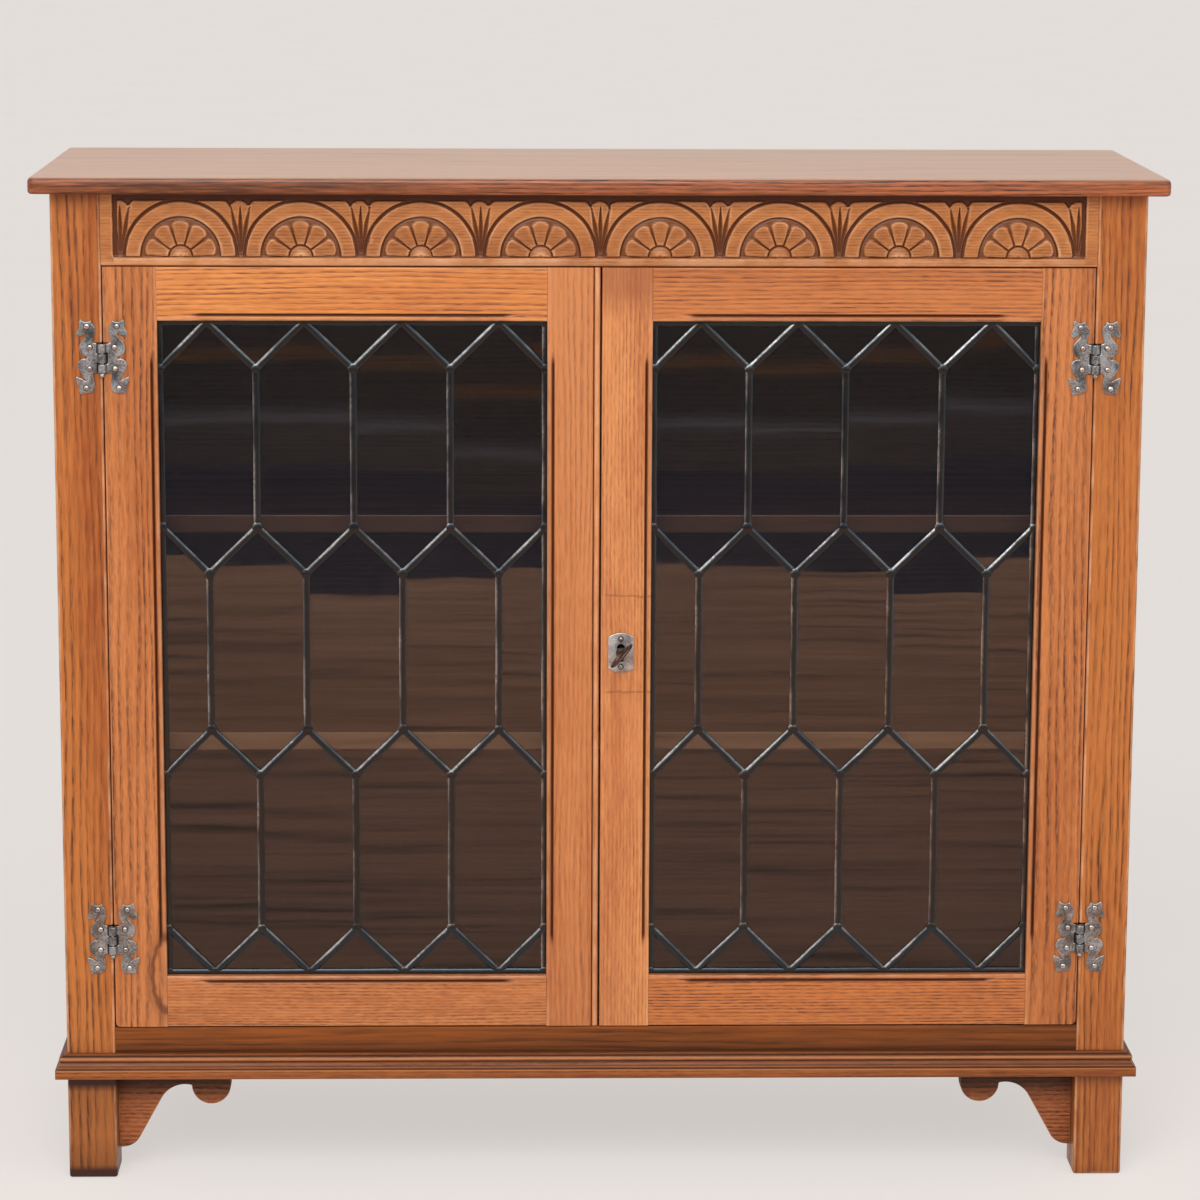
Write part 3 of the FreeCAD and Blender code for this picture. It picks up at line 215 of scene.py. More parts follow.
# %% [markdown]
# Two broad suns stand for studio softboxes, and a nearer panel above the camera lights the upper half a little more,
# as the room's lamps do. With the pale surroundings they add up to about one, so that a colour renders close to the
# way it is written.

# %% Lamps and world
SUNS = (("left_softbox", 0.68, 50, 58, -24), ("right_softbox", 0.6, 60, 64, 38))
for name, strength, spread, tilt, swing in SUNS:
    lamp = bpy.data.lights.new(name, "SUN")
    lamp.energy, lamp.angle = strength, math.radians(spread)
    show(name, lamp).rotation_euler = (math.radians(tilt), 0, math.radians(swing))
lamp = bpy.data.lights.new("panel_above_camera", "AREA")
lamp.shape, lamp.size, lamp.energy = "DISK", 1.6, 26.0
panel = show("panel_above_camera", lamp)
panel.location = (-0.3, -2.1, 2.1)
panel.rotation_euler = (Vector((0, 0, 0.6)) - panel.location).to_track_quat("-Z", "Y").to_euler()

world = bpy.data.worlds.new("pale_studio")
world.use_nodes = True
tree = world.node_tree
tree.nodes.clear()
dim = add(tree, "Background", {"Color": colour("#F2EEEA"), "Strength": 0.4})
pale = add(tree, "Background", {"Color": colour("#E6DED8"), "Strength": 1.0})
both = add(tree, "MixShader", (seen_directly(tree), dim, pale))
add(tree, "OutputWorld", {"Surface": both})
bpy.context.scene.world = world
print(len(SUNS) + 1, "lamps and a pale world")

# %% [markdown]
# A photographer keeps the bright room out of a pane by laying cards where the glass would mirror it. Here they
# lie on the floor in front of the cabinet: first brown boards, then navy cloth, then a dusky room with a pale sill
# and a strip of warm wood in it. A white card on each side draws thin bright lines along the lead. The cards glow
# faintly, and only mirror-like reflections see them, so the floor itself stays plain and pale.

# %% Cards for the glass to mirror
BOARDS, CLOTH, ROOM = 0.5, 2.92, 3.95
DUSK = (
    (ROOM, "#78686A"), (4.44, "#78686A"), (4.52, "#CFC8D4"), (4.62, "#8C8490"), (4.75, "#2C2628"),
    (5.34, "#1C181A"), (5.44, "#D8822C"), (5.6, "#B06A28"), (5.7, "#3A1F18"), (6.6, "#4A3A34"), (9.0, "#3C3838"),
)
ROOM_END = DUSK[-1][0]
WHITE = ((0.0, "#F4F2EE"), (1.0, "#F4F2EE"))
for name, left, right, near, far, strength, tints in (
    ("brown_boards", -7, 7, BOARDS, CLOTH, 2.5, ((0.0, "#B98467"), (0.6, "#DC9A76"), (1.0, "#EFB08C"))),
    ("navy_cloth", -7, 7, CLOTH, ROOM, 1.0, ((0.0, "#4A4874"), (0.6, "#3A3A6E"), (1.0, "#33316A"))),
    ("dusky_room", -7, 7, ROOM, ROOM_END, 1.0, [((d - ROOM) / (ROOM_END - ROOM), tint) for d, tint in DUSK]),
    ("white_card_left", -3.4, -1.8, 0.3, 2.6, 2.4, WHITE),
    ("white_card_right", 1.8, 3.4, 0.3, 2.6, 2.4, WHITE),
):
    paint, tree, shader = start_material(name)
    place = add(tree, "TexCoord").outputs["Object"]
    ahead = add(tree, "SeparateXYZ", (place,)).outputs["Y"]
    away = add(tree, "MapRange", (ahead, FACE - near, FACE - far))
    broad = add(tree, "Mapping", {"Vector": place, "Scale": (0.7, 9.0, 1.0)})
    streak = add(tree, "TexNoise", {"Vector": broad, "Scale": 2.2, "Detail": 6.0, "Roughness": 0.68})
    tone = ramp(tree, streak, (0.36, 0.25), (0.44, 0.66), (0.52, 0.84), (0.64, 1.0))
    tints = ramp(tree, away, *tints)
    mixed = add(tree, "Mix", {0: 1.0, 6: tints, 7: tone}, data_type="RGBA", blend_type="MULTIPLY")
    shine = add(tree, "Emission", {"Color": mixed.outputs[2], "Strength": strength})
    fill(tree, tree.nodes["Material Output"], {"Surface": shine})
    middle = ((left + right) / 2, FACE - (near + far) / 2, 0.002 if "white" in name else 0.001)
    card = lay_sheet(name, paint, right - left, far - near, middle)
    card.visible_camera = card.visible_diffuse = card.visible_shadow = card.visible_transmission = False
    print(name, "from", near, "to", far, "m in front of the doors")

# %% [markdown]
# ## Oak
# Oak is ring-porous: each spring the tree lays down a band of wide pores, which the plane cuts open as dark
# dashes along the grain and which stain and wax make darker still. Between them lies smooth honey-coloured
# summer wood. So the finish is built as a log: rings round a pith far to one side, their radius wandering
# slowly along the trunk, with dashes of pores in the spring band. Turning the log turns the grain, so one
# recipe serves posts and rails. Real pores are 0.3 mm wide; here they are about 1 mm, so that they show.
# A pattern's scale is 1000 over its size in millimetres.

# %% Waxed oak
PITHS = {"X": (0.62, -0.31, 0.4), "Y": (0.62, -0.31, 0.4), "Z": (1.12, -0.33, 0.2)}
TURNS = {"X": (0, math.pi / 2, 0), "Y": (math.pi / 2, 0, 0), "Z": (0, 0, 0)}
PORE = 1.1
SAW_RINGS = {"wave_type": "RINGS", "rings_direction": "Z", "wave_profile": "SAW"}


def oak(name, along, light, deep, streak, rings, figure, shift=0.0, gloss=0.36, dash=9.0, wax=0.5, extras=()):
    """Waxed oak with its grain along one axis, a ring and a pore of so many millimetres, and a strength of figure.
    A shift takes another part of the log. Extras lay marks over it: stains, dirt and wear, and painted light and
    shade."""
    material, tree, shader = start_material(name)
    place = add(tree, "TexCoord").outputs["Object"]
    pith = [p + shift for p in PITHS[along]]
    log = add(tree, "Mapping", {"Vector": place, "Location": pith, "Rotation": TURNS[along]})
    slow = add(tree, "Mapping", {"Vector": log, "Scale": (1, 1, 0.08)})
    fibre = add(tree, "Mapping", {"Vector": log, "Scale": (1, 1, PORE / dash)})

    # The rings wander by a ring or so over a hand's breadth, which makes long arches on a flat face.
    wander = add(tree, "TexNoise", {"Vector": slow, "Scale": 1000 / 34, "Detail": 3.0, "Roughness": 0.45})
    swing = add(tree, "Math", (wander, 24.0), operation="MULTIPLY")
    wave = {"Vector": log, "Scale": 0.31416 / (rings * MM), "Phase Offset": swing}
    year = add(tree, "TexWave", wave, **SAW_RINGS).outputs["Fac"]
    spring = ramp(tree, year, (0.0, 0.6), (0.1, 1.0), (0.3, 0.55), (0.58, 0.0), (0.9, 0.0), (1.0, 0.6))

    # Pores are dashes a few millimetres long, denser in some streaks, and the fibre between varies in tone.
    dashes = add(tree, "TexNoise", {"Vector": fibre, "Scale": 1000 / PORE, "Detail": 1.0, "Roughness": 0.5})
    pores = ramp(tree, dashes, (0.42, 0.0), (0.6, 1.0))
    patch = add(tree, "TexNoise", {"Vector": slow, "Scale": 1000 / 16, "Detail": 2.0})
    open_pores = add(tree, "MapRange", (patch, 0.32, 0.62, 0.3, 1.0))
    thread = add(tree, "TexNoise", {"Vector": fibre, "Scale": 1000 / 2.6, "Detail": 3.0})
    cloud = add(tree, "TexNoise", {"Vector": slow, "Scale": 1000 / 60, "Detail": 3.0, "Roughness": 0.55})
    tone = add(tree, "Math", (thread, 0.55, -0.27), operation="MULTIPLY_ADD")
    tone = add(tree, "Math", (cloud, tone), operation="ADD")
    body = ramp(tree, tone, (0.28, deep), (0.58, light))
    share = add(tree, "Math", (pores, 0.5, 0.5), operation="MULTIPLY_ADD")
    dark = add(tree, "Math", (spring, share), operation="MULTIPLY")
    dark = add(tree, "Math", (dark, open_pores), operation="MULTIPLY")
    fleck = add(tree, "Math", (pores, 0.14, dark), operation="MULTIPLY_ADD")
    amount = add(tree, "Math", (fleck, figure), operation="MULTIPLY")
    wood = tinted(tree, body, (amount, streak), *(extra(tree, place) for extra in extras))

    # Open grain is duller than the wax beside it, and a quarter of a millimetre lower.
    sheen = add(tree, "Math", (cloud, 0.16, gloss - 0.08), operation="MULTIPLY_ADD")
    dull = add(tree, "Math", (dark, 0.18, sheen), operation="MULTIPLY_ADD")
    level = add(tree, "Math", (1.0, fleck), operation="SUBTRACT")
    relief = add(tree, "Bump", {"Height": level, "Strength": 0.5, "Distance": 0.25 * MM})
    fill(tree, shader, {"Base Color": wood, "Roughness": dull, "Normal": relief})
    fill(tree, shader, {"IOR": 1.5, "Specular IOR Level": wax})
    print(f"{name}: grain along {along}, a ring every {rings} mm")
    return material


print("pores", PORE, "mm wide")

# %% [markdown]
# Age changes oak in places, and some light and shade are painted on it as well. Each change is a mask and a tint that
# goes over the plain wood. Stain gathers in cuts and grooves, which are also painted darker as shade, the deeper the
# darker. Hands rub arrises pale, and the same mask also paints them as catching light: the meshes mark both. Feet
# gather dirt near the floor. The posts are painted with shade just under the base moulding and are darker on the
# left, and the wood behind the hinge barrels is darker.

# %% Marks of wear and dirt, with painted shade and highlights
HINGE_X, HINGE_Z = 430.0, {"upper": 740.5, "lower": 221.0}


# Cuts are darker the deeper they go: stain gathers there, and shade is painted in as well.
def stain_and_shade_in_cuts(tree, place):
    depth = add(tree, "Attribute", attribute_name="carved").outputs["Fac"]
    return ramp(tree, depth, (0.15, 0.0), (0.42, 0.25), (0.66, 0.68), (0.95, 0.94)), "#481C06"


# Rubbed arrises are paler, and the same mask paints them as catching light, a painted highlight.
def worn_and_highlit_edges(tree, place):
    edge = add(tree, "Attribute", attribute_name="wear_and_light").outputs["Fac"]
    broken = add(tree, "TexNoise", {"Vector": place, "Scale": 1000 / 22, "Detail": 3.0})
    spots = ramp(tree, broken, (0.35, 0.15), (0.65, 0.7))
    return add(tree, "Math", (edge, spots), operation="MULTIPLY"), "#EDB48A"


def by_height(tree, place, *stops):
    """A mask from (millimetres above the floor, grey) stops."""
    low, high = stops[0][0], stops[-1][0]
    height = add(tree, "SeparateXYZ", (place,)).outputs["Z"]
    share = add(tree, "MapRange", (height, low * MM, high * MM))
    return ramp(tree, share, *[((z - low) / (high - low), grey) for z, grey in stops])


# Dirt near the floor. Just under the base moulding the darkening is painted shade. Posts on the left are darker than
# those on the right.
def dirt_and_shade_at_foot(tree, place):
    stops = ((0, 0.85), (5, 0.55), (12, 0.25), (40, 0.14), (80, 0.2), (94, 0.75), (95, 0.15), (140, 0.0))
    across = add(tree, "SeparateXYZ", (place,)).outputs["X"]
    side = add(tree, "MapRange", (across, -0.4, 0.4, 2.1, 0.45))
    return add(tree, "Math", (by_height(tree, place, *stops), side), operation="MULTIPLY"), "#3A1604"


# The wood just behind each hinge barrel is darker.
def dark_behind_hinges(tree, place):
    spot = add(tree, "SeparateXYZ", (place,)).outputs
    out = add(tree, "Math", (spot["X"],), operation="ABSOLUTE")
    beside = add(tree, "Math", (out, HINGE_X * MM, 5.4 * MM), operation="COMPARE")
    ends = [add(tree, "Math", (spot["Z"], z * MM, 13.5 * MM), operation="COMPARE") for z in HINGE_Z.values()]
    level = add(tree, "Math", ends, operation="MAXIMUM")
    front = add(tree, "Math", (spot["Y"], FACE + 50 * MM), operation="LESS_THAN")
    level = add(tree, "Math", (level, front), operation="MULTIPLY")
    return add(tree, "Math", (beside, level), operation="MULTIPLY"), "#180C06"


print("hinge barrels at", HINGE_X, "mm from the middle")

# %% [markdown]
# The top's upper face is painted pale, a painted sheen, and one stile has stayed darker at its upper end. The shelves
# have a pale lip, painted lighter on the lower shelf as light, and a painted highlight on the upper arris. Two
# scratches cross the right meeting stile, and the left hinge stile has a knot near its foot.

# %% Painted sheen and light, and marks of chance
KNOT_X, KNOT_Z, KNOT_WIDE, KNOT_TALL = -384.0, 188.0, 11.0, 32.0


def dark_end(tree, place):
    height = add(tree, "SeparateXYZ", (place,)).outputs["Z"]
    fade = add(tree, "TexNoise", {"Vector": place, "Scale": 1000 / 24, "Detail": 3.0})
    level = add(tree, "Math", (fade, 30 * MM, height), operation="MULTIPLY_ADD")
    return add(tree, "MapRange", (level, 790 * MM, 812 * MM, 0.0, 0.6)), "#9A5430"


# Faces that turn up are painted pale, a painted sheen.
def painted_sheen_on_top(tree, place):
    up = add(tree, "SeparateXYZ", (add(tree, "NewGeometry").outputs["Normal"],)).outputs["Z"]
    return add(tree, "MapRange", (up, 0.55, 1.0, 0.0, 0.74), interpolation_type="SMOOTHSTEP"), "#E8C4AE"


# The front face of a shelf is a pale lip. The lower shelf's lip is painted lighter than the upper one's, as light.
def pale_lip_and_painted_light(tree, place):
    facing = add(tree, "SeparateXYZ", (add(tree, "NewGeometry").outputs["Normal"],)).outputs["Y"]
    front = add(tree, "MapRange", (facing, -0.3, -0.9))
    height = add(tree, "SeparateXYZ", (place,)).outputs["Z"]
    # This height mask only paints the lower lip lighter, as light.
    wear_and_light = add(tree, "MapRange", (height, 450 * MM, 550 * MM, 1.0, 0.22))
    return add(tree, "Math", (front, wear_and_light), operation="MULTIPLY"), "#D2A478"


# The arris that faces up and forward is painted near white, a painted highlight.
def painted_highlight_on_nosing(tree, place):
    facing = add(tree, "NewGeometry").outputs["Normal"]
    up_front = add(tree, "VectorMath", (facing, (0.0, -0.7, 0.7)), operation="DOT_PRODUCT").outputs["Value"]
    return add(tree, "MapRange", (up_front, 0.85, 0.96, 0.0, 0.7)), "#E6D2C4"


def old_scratch(tree, place):
    spot = add(tree, "SeparateXYZ", (place,)).outputs
    jitter = add(tree, "TexNoise", {"Vector": place, "Scale": 1000 / 16, "Detail": 3.0})
    level = add(tree, "Math", (jitter, 5 * MM, spot["Z"]), operation="MULTIPLY_ADD")
    lines = [add(tree, "Math", (level, z * MM, 1.0 * MM), operation="COMPARE") for z in (447.3, 533.9)]
    line = add(tree, "Math", lines, operation="MAXIMUM")
    right = add(tree, "MapRange", (spot["X"], 3 * MM, 9 * MM, 0.0, 0.45))
    return add(tree, "Math", (line, right), operation="MULTIPLY"), "#8A4222"


def old_knot(tree, place):
    middle, size = (-KNOT_X / KNOT_WIDE, 0.0, -KNOT_Z / KNOT_TALL), (1000 / KNOT_WIDE, 0.0, 1000 / KNOT_TALL)
    near = add(tree, "Mapping", {"Vector": place, "Location": middle, "Scale": size})
    ring = add(tree, "VectorMath", (near,), operation="LENGTH").outputs["Value"]
    wobble = add(tree, "TexNoise", {"Vector": place, "Scale": 1000 / 14, "Detail": 3.0})
    ring = add(tree, "Math", (wobble, 0.5, ring), operation="MULTIPLY_ADD")
    half = add(tree, "Math", (ring, 0.4), operation="MULTIPLY")
    inner, outer = ((0.2, 0.3), (0.3, 0.12), (0.42, 0.15), (0.48, 0.8)), ((0.53, 0.8), (0.58, 0.35))
    return ramp(tree, half, *inner, *outer, (0.7, 0.15), (0.85, 0.0)), "#5A2A10"


print("knot", KNOT_WIDE, "by", KNOT_TALL, "mm")

# %% [markdown]
# Every board of the cabinet came from another plank, so each has its own colours, rings and pores.

# %% Planks
AGE_AND_SHADING = (worn_and_highlit_edges, stain_and_shade_in_cuts)
POST_OAK = oak(
    "streaky_waxed_oak_upright", "Z", "#C67638", "#A25424", "#461E08", rings=5.6, figure=0.85, dash=14.0, wax=0.35,
    extras=(worn_and_highlit_edges, dirt_and_shade_at_foot, dark_behind_hinges),
)
STILE_OAK = oak(
    "fine_waxed_oak_upright", "Z", "#D08046", "#B0622C", "#5A280E", rings=6.6, figure=0.95, shift=0.11,
    extras=(*AGE_AND_SHADING, dark_behind_hinges, old_knot),
)
MEETING_OAKS = {
    "left": oak(
        "close_waxed_oak_upright", "Z", "#D0844D", "#B16333", "#74381A", rings=4.6, figure=0.6, shift=0.17,
        dash=12.0, extras=AGE_AND_SHADING,
    ),
    "right": oak(
        "quiet_waxed_oak_upright", "Z", "#E09458", "#BE7040", "#844420", rings=3.2, figure=0.75, shift=0.27,
        extras=(*AGE_AND_SHADING, old_scratch, dark_end),
    ),
}
RAIL_OAKS = {
    place: oak(name, "X", *tones, rings=rings, figure=0.95, shift=shift, dash=dash, extras=AGE_AND_SHADING)
    for place, name, tones, rings, shift, dash in (
        ("left_top", "bright_waxed_oak_level", ("#EC9850", "#CE7A3A", "#6A2E0E"), 4.4, 0.0, 14.0),
        ("right_top", "brown_waxed_oak_level", ("#CE7C42", "#B2622C", "#562408"), 4.0, 0.08, 14.0),
        ("left_bottom", "fine_waxed_oak_level", ("#CE8048", "#AA5E2C", "#5E280E"), 2.5, 0.04, 7.0),
        ("right_bottom", "deep_waxed_oak_level", ("#CC783C", "#A85A26", "#5A240A"), 2.8, 0.19, 8.0),
    )
}
FRIEZE_OAK = oak(
    "carved_waxed_oak", "X", "#C67F46", "#A66434", "#642F0F", rings=2.6, figure=0.6, shift=0.05, dash=6.0, wax=0.3,
    extras=AGE_AND_SHADING,
)
TOP_OAK = oak(
    "sheen_painted_oak", "X", "#B8663A", "#562A0C", "#30140A", rings=3.6, figure=1.0, shift=0.03, dash=16.0,
    extras=(painted_sheen_on_top,),
)
SHELF_OAK = oak(
    "lipped_oak_shelf", "X", "#6E4628", "#583620", "#3A200F", rings=5.5, figure=0.5, shift=0.21, gloss=0.5,
    extras=(pale_lip_and_painted_light, painted_highlight_on_nosing),
)
INSIDE = {"rings": 5.5, "figure": 0.5, "shift": 0.09, "gloss": 0.55}
INSIDE_OAK = oak("plain_oak_board", "X", "#50321E", "#422716", "#2A170B", **INSIDE)
PANEL = {"rings": 7.0, "figure": 0.7, "shift": 0.15, "gloss": 0.45}
PANEL_OAK = oak("plain_oak_panel", "Z", "#B46C3A", "#9C582C", "#5E3014", **PANEL)

# %% [markdown]
# The base is stained darker. The quirks and coves of its moulding are painted dark as shade, and the crowns of its
# bead and fascia are painted light as highlights. All of these lie at fixed heights, so the lines are set by height
# above the floor. The brackets are rougher sawn wood and take the stain redder, and their upper parts are painted
# dark as the shadow under the moulding.

# %% Dark oak
# Painted shade in the quirks and coves of the moulding, at fixed heights.
def painted_shade_lines(tree, place):
    lower = ((94.6, 0.35), (97.0, 0.0), (102.2, 0.0), (103.1, 0.85), (104.5, 0.15), (105.6, 0.6), (107.6, 0.3))
    upper = ((109.4, 0.85), (110.8, 0.0), (112.8, 0.0), (114.3, 0.9), (115.2, 0.35), (116.2, 0.3), (117.2, 0.85))
    return by_height(tree, place, *lower, *upper), "#35180B"


# Painted highlights on the crowns of the fascia and the bead, at fixed heights.
def painted_highlight_lines(tree, place):
    lower = ((94.6, 0.0), (101.0, 0.0), (102.4, 0.6), (103.0, 0.0), (104.0, 0.0), (104.6, 0.3), (105.2, 0.0))
    return by_height(tree, place, *lower, (110.4, 0.0), (112.2, 0.6), (113.4, 0.0)), "#D09060"


def shaded_rail(tree, place):
    return by_height(tree, place, (116.0, 0.75), (120.8, 0.4), (130.4, 0.1), (137.6, 0.0)), "#2E1408"


# The brackets are painted darker towards their tops, as the shadow under the moulding.
def painted_shadow_under_base(tree, place):
    return by_height(tree, place, (60.0, 0.0), (70.5, 0.3), (81.0, 0.8), (95.0, 0.97)), "#1C0E08"


RAIL_BASE_OAK = oak(
    "dark_stained_oak_rail", "X", "#9A521C", "#6C3A12", "#401E08", rings=6.0, figure=0.7, shift=0.13, gloss=0.45,
    dash=30.0, wax=0.25, extras=(shaded_rail,),
)
BASE_TONES = ("#A85E2A", "#86461A", "#451E0A")
BASE = {"rings": 3.4, "figure": 0.7, "gloss": 0.4, "wax": 0.35, "extras": (painted_highlight_lines, painted_shade_lines)}
BASE_OAK = oak("dark_stained_oak_level", "X", *BASE_TONES, shift=0.07, **BASE)
BASE_SIDE_OAK = oak("dark_stained_oak_deep", "Y", *BASE_TONES, **BASE)
BRACKET_OAK = oak(
    "red_sawn_oak", "X", "#B2683C", "#6A3016", "#30120A", rings=3.4, figure=1.0, shift=0.02, gloss=0.55, dash=6.0,
    wax=0.3, extras=(worn_and_highlit_edges, painted_shadow_under_base),
)

# %% [markdown]
# ## Metals, lead and glass
# The hinges and the keyhole plate are iron with a pewter-grey finish, cast in sand and brushed. A bump of about a
# millimetre gives the grain, and a slower one the dents of a hammer. Raised edges are painted bright, as wear and as
# highlights. Hollows, and the rim where the plate meets the wood, are painted dark, as grime and shade. Nails are the
# same metal polished by hands. Lead is dull grey. All of it that does not face up and left, towards the light, is
# painted dark as shade, and so is the strip along the sill.

# %% Metals
GRIME_AND_SHADE, WORN_EDGE_HIGHLIGHT = "#1C1A19", "#EEF0F0"
LIGHT_FROM, SILL_STRIP = (-0.5, 0.0, 0.87), 191.6


def grained_metal(name, light, dark, rough, grit, relief, wear_grime_and_shading=False, rim=None, painted_shade=None):
    """A metal with a fine granular skin: grit and relief in millimetres. Its edges may be painted bright, as wear and
    highlight, and its hollows dark, as grime and shade. A rim between two heights above the wood is painted dark, as
    grime and shade, and painted shade may cover all that does not face up and left, towards the light."""
    material, tree, shader = start_material(name)
    place = add(tree, "TexCoord").outputs["Object"]
    spot, shape = add(tree, "SeparateXYZ", (place,)).outputs, add(tree, "NewGeometry").outputs
    grain = add(tree, "TexNoise", {"Vector": place, "Scale": 1000 / grit, "Detail": 3.0, "Roughness": 0.6})
    cloud = add(tree, "TexNoise", {"Vector": place, "Scale": 1000 / (grit * 8), "Detail": 2.0})
    mixed = add(tree, "Math", (grain, cloud), operation="MULTIPLY")
    metal, marks = ramp(tree, mixed, (0.14, dark), (0.36, light)), []
    # Pointy edges are painted bright, as wear and highlight. Hollows are painted dark, as grime and shade.
    if wear_grime_and_shading:
        marks.append((ramp(tree, shape["Pointiness"], (0.52, 0.0), (0.6, 0.85)), WORN_EDGE_HIGHLIGHT))
        marks.append((ramp(tree, shape["Pointiness"], (0.42, 0.95), (0.49, 0.0)), GRIME_AND_SHADE))
    # The rim just above the wood is painted dark, as grime and shade.
    if rim:
        high, low = (FACE - height * MM for height in rim)
        marks.append((add(tree, "MapRange", (spot["Y"], high, low, 0.0, 0.92)), GRIME_AND_SHADE))
    # Painted shade: every face that does not turn up and left, towards the light, is darkened, and so is the strip on
    # the sill.
    if painted_shade:
        facing_light = add(tree, "VectorMath", (shape["Normal"], LIGHT_FROM), operation="DOT_PRODUCT").outputs["Value"]
        patchy = add(tree, "MapRange", (cloud, 0.35, 0.62, 0.35, 1.1))
        reach = add(tree, "Math", (facing_light, patchy), operation="MULTIPLY")
        dull = add(tree, "MapRange", (reach, 0.04, 0.3, 1.0, 0.0))
        sill_shade = add(tree, "Math", (spot["Z"], SILL_STRIP * MM), operation="LESS_THAN")
        marks.append((add(tree, "Math", (dull, sill_shade), operation="MAXIMUM"), painted_shade))
    spread = add(tree, "MapRange", (cloud, 0.3, 0.7, rough * 0.8, rough * 1.25))
    height = add(tree, "Math", (cloud, 3.0, grain), operation="MULTIPLY_ADD")
    bump = add(tree, "Bump", {"Height": height, "Strength": 0.6, "Distance": relief * MM})
    metal = tinted(tree, metal, *marks)
    fill(tree, shader, {"Base Color": metal, "Roughness": spread, "Normal": bump, "Metallic": 1.0})
    print(f"{name}: {grit} mm grain")
    return material


CAST = {"wear_grime_and_shading": True, "rim": (1.1, 0.4)}
IRON = grained_metal("pewter_grey_iron", "#A4AEB4", "#566066", 0.34, 1.5, 0.3, **CAST)
PLATE_IRON = grained_metal("brushed_iron_plate", "#C8D2D6", "#7E8A94", 0.42, 1.2, 0.2, **CAST)
NAIL_STEEL = grained_metal("rubbed_steel_nail", "#C4C2BE", "#85837F", 0.24, 2.0, 0.05, rim=(2.7, 2.1))
LOCK_STEEL = grained_metal("oiled_lock_steel", "#8A8784", "#5A5856", 0.38, 1.5, 0.06)
BRASS = grained_metal("aged_brass", "#B08A4A", "#77582A", 0.36, 2.0, 0.06)
BRONZE = grained_metal("dark_bronze", "#75655C", "#3A2F2A", 0.4, 1.6, 0.12)
LEAD = grained_metal("dull_lead_came", "#96999A", "#5C6062", 0.24, 3.0, 0.25, painted_shade="#363E44")

# %% [markdown]
# Old drawn sheet glass is clear but never quite flat. A very slow bump bends the mirror image a little, and a faint
# grey tint darkens what is seen through it.

# %% Glass
GLASS, tree, shader = start_material("old_drawn_glass")
place = add(tree, "TexCoord").outputs["Object"]
waves = add(tree, "TexNoise", {"Vector": place, "Scale": 1000 / 70, "Detail": 1.0})
bend = add(tree, "Bump", {"Height": waves, "Strength": 0.12, "Distance": 0.4 * MM})
film = add(tree, "TexNoise", {"Vector": place, "Scale": 1000 / 160, "Detail": 2.0})
haze = add(tree, "MapRange", (film, 0.3, 0.7, 0.0, 0.03))
fill(tree, shader, {"Base Color": colour("#B6B2B2"), "Roughness": haze, "Normal": bend})
fill(tree, shader, {"Transmission Weight": 1.0, "IOR": 1.5})
print("glass ready")

# %% [markdown]
# ## Helpers for pieces
# A finished piece is a mesh in the frame's own place. It is shaded smooth, with its sharp edges kept, and
# a weighted-normal modifier keeps broad faces flat beside their rounded edges. It then rides on the body of
# the solid that it stands for.

# %% Finish a piece
def settle(name, bm, material, slot, *nodes, crease=40, cast=0.0):
    """Makes a mesh object from a bmesh and lets it stand for the named solids. A cast piece gets a softened skin."""
    mesh = bpy.data.meshes.new(name)
    bm.to_mesh(mesh)
    bm.free()
    mesh.polygons.foreach_set("use_smooth", [True] * len(mesh.polygons))
    mesh.set_sharp_from_angle(angle=math.radians(crease))
    mesh.materials.append(material)
    piece = show(name, mesh)
    if cast:
        skin = piece.modifiers.new("cast_skin", "REMESH")
        skin.mode, skin.voxel_size, skin.use_smooth_shade = "VOXEL", cast * MM, True
        soft = piece.modifiers.new("soft_arrises", "SMOOTH")
        soft.factor, soft.iterations = 0.5, 6
    else:
        piece.modifiers.new("flat_faces", "WEIGHTED_NORMAL").keep_sharp = True
    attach(piece, frame["nodes"][nodes[0]]["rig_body"])
    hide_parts(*nodes)
    print(f"{name}: {len(mesh.polygons)} faces")


def box(bm, low, high):
    """A box between two corners."""
    place = Matrix.Translation((low + high) / 2) @ Matrix.Diagonal((*(high - low), 1.0))
    bmesh.ops.create_cube(bm, size=1.0, matrix=place)


def round_edges(bm, edges, radius, segments):
    """Rounds edges with a radius in millimetres; returns the new faces."""
    return bmesh.ops.bevel(
        bm, geom=list(edges), offset=radius * MM, offset_type="OFFSET", affect="EDGES",
        segments=segments, profile=0.5, material=-1, clamp_overlap=True,
    )["faces"]


def runs_along(edge, axis):
    """True for an edge that runs along an axis, 0 to 2."""
    return abs((edge.verts[0].co - edge.verts[1].co).normalized()[axis]) > 0.99


def lies_at(edge, height):
    """True for a level edge at a height in metres."""
    return all(abs(v.co.z - height) < 1e-6 for v in edge.verts)


print("piece helpers ready")

# %% [markdown]
# ## Top board and posts
# The top is one board with its corners eased and a thumb-rounded edge, larger above than below. Starting from
# a box and rounding the uprights first lets the second rounding run round the corners in one piece.

# %% Top board
CORNER_ROUND, UPPER_ROUND, LOWER_ROUND = 6.0, 5.0, 3.0
bm = bmesh.new()
low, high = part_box("top_board")
box(bm, low, high)
round_edges(bm, [e for e in bm.edges if runs_along(e, 2)], CORNER_ROUND, 6)
for height, radius in ((high.z, UPPER_ROUND), (low.z, LOWER_ROUND)):
    round_edges(bm, [e for e in bm.edges if lies_at(e, height)], radius, 5)
settle("top_board_shaped", bm, TOP_OAK, "faded_oak", "top_board")

# %% [markdown]
# The posts run down as feet. Their arrises are eased by hand, and the feet are rounded underneath, where
# a sharp edge would splinter when the cabinet is dragged.

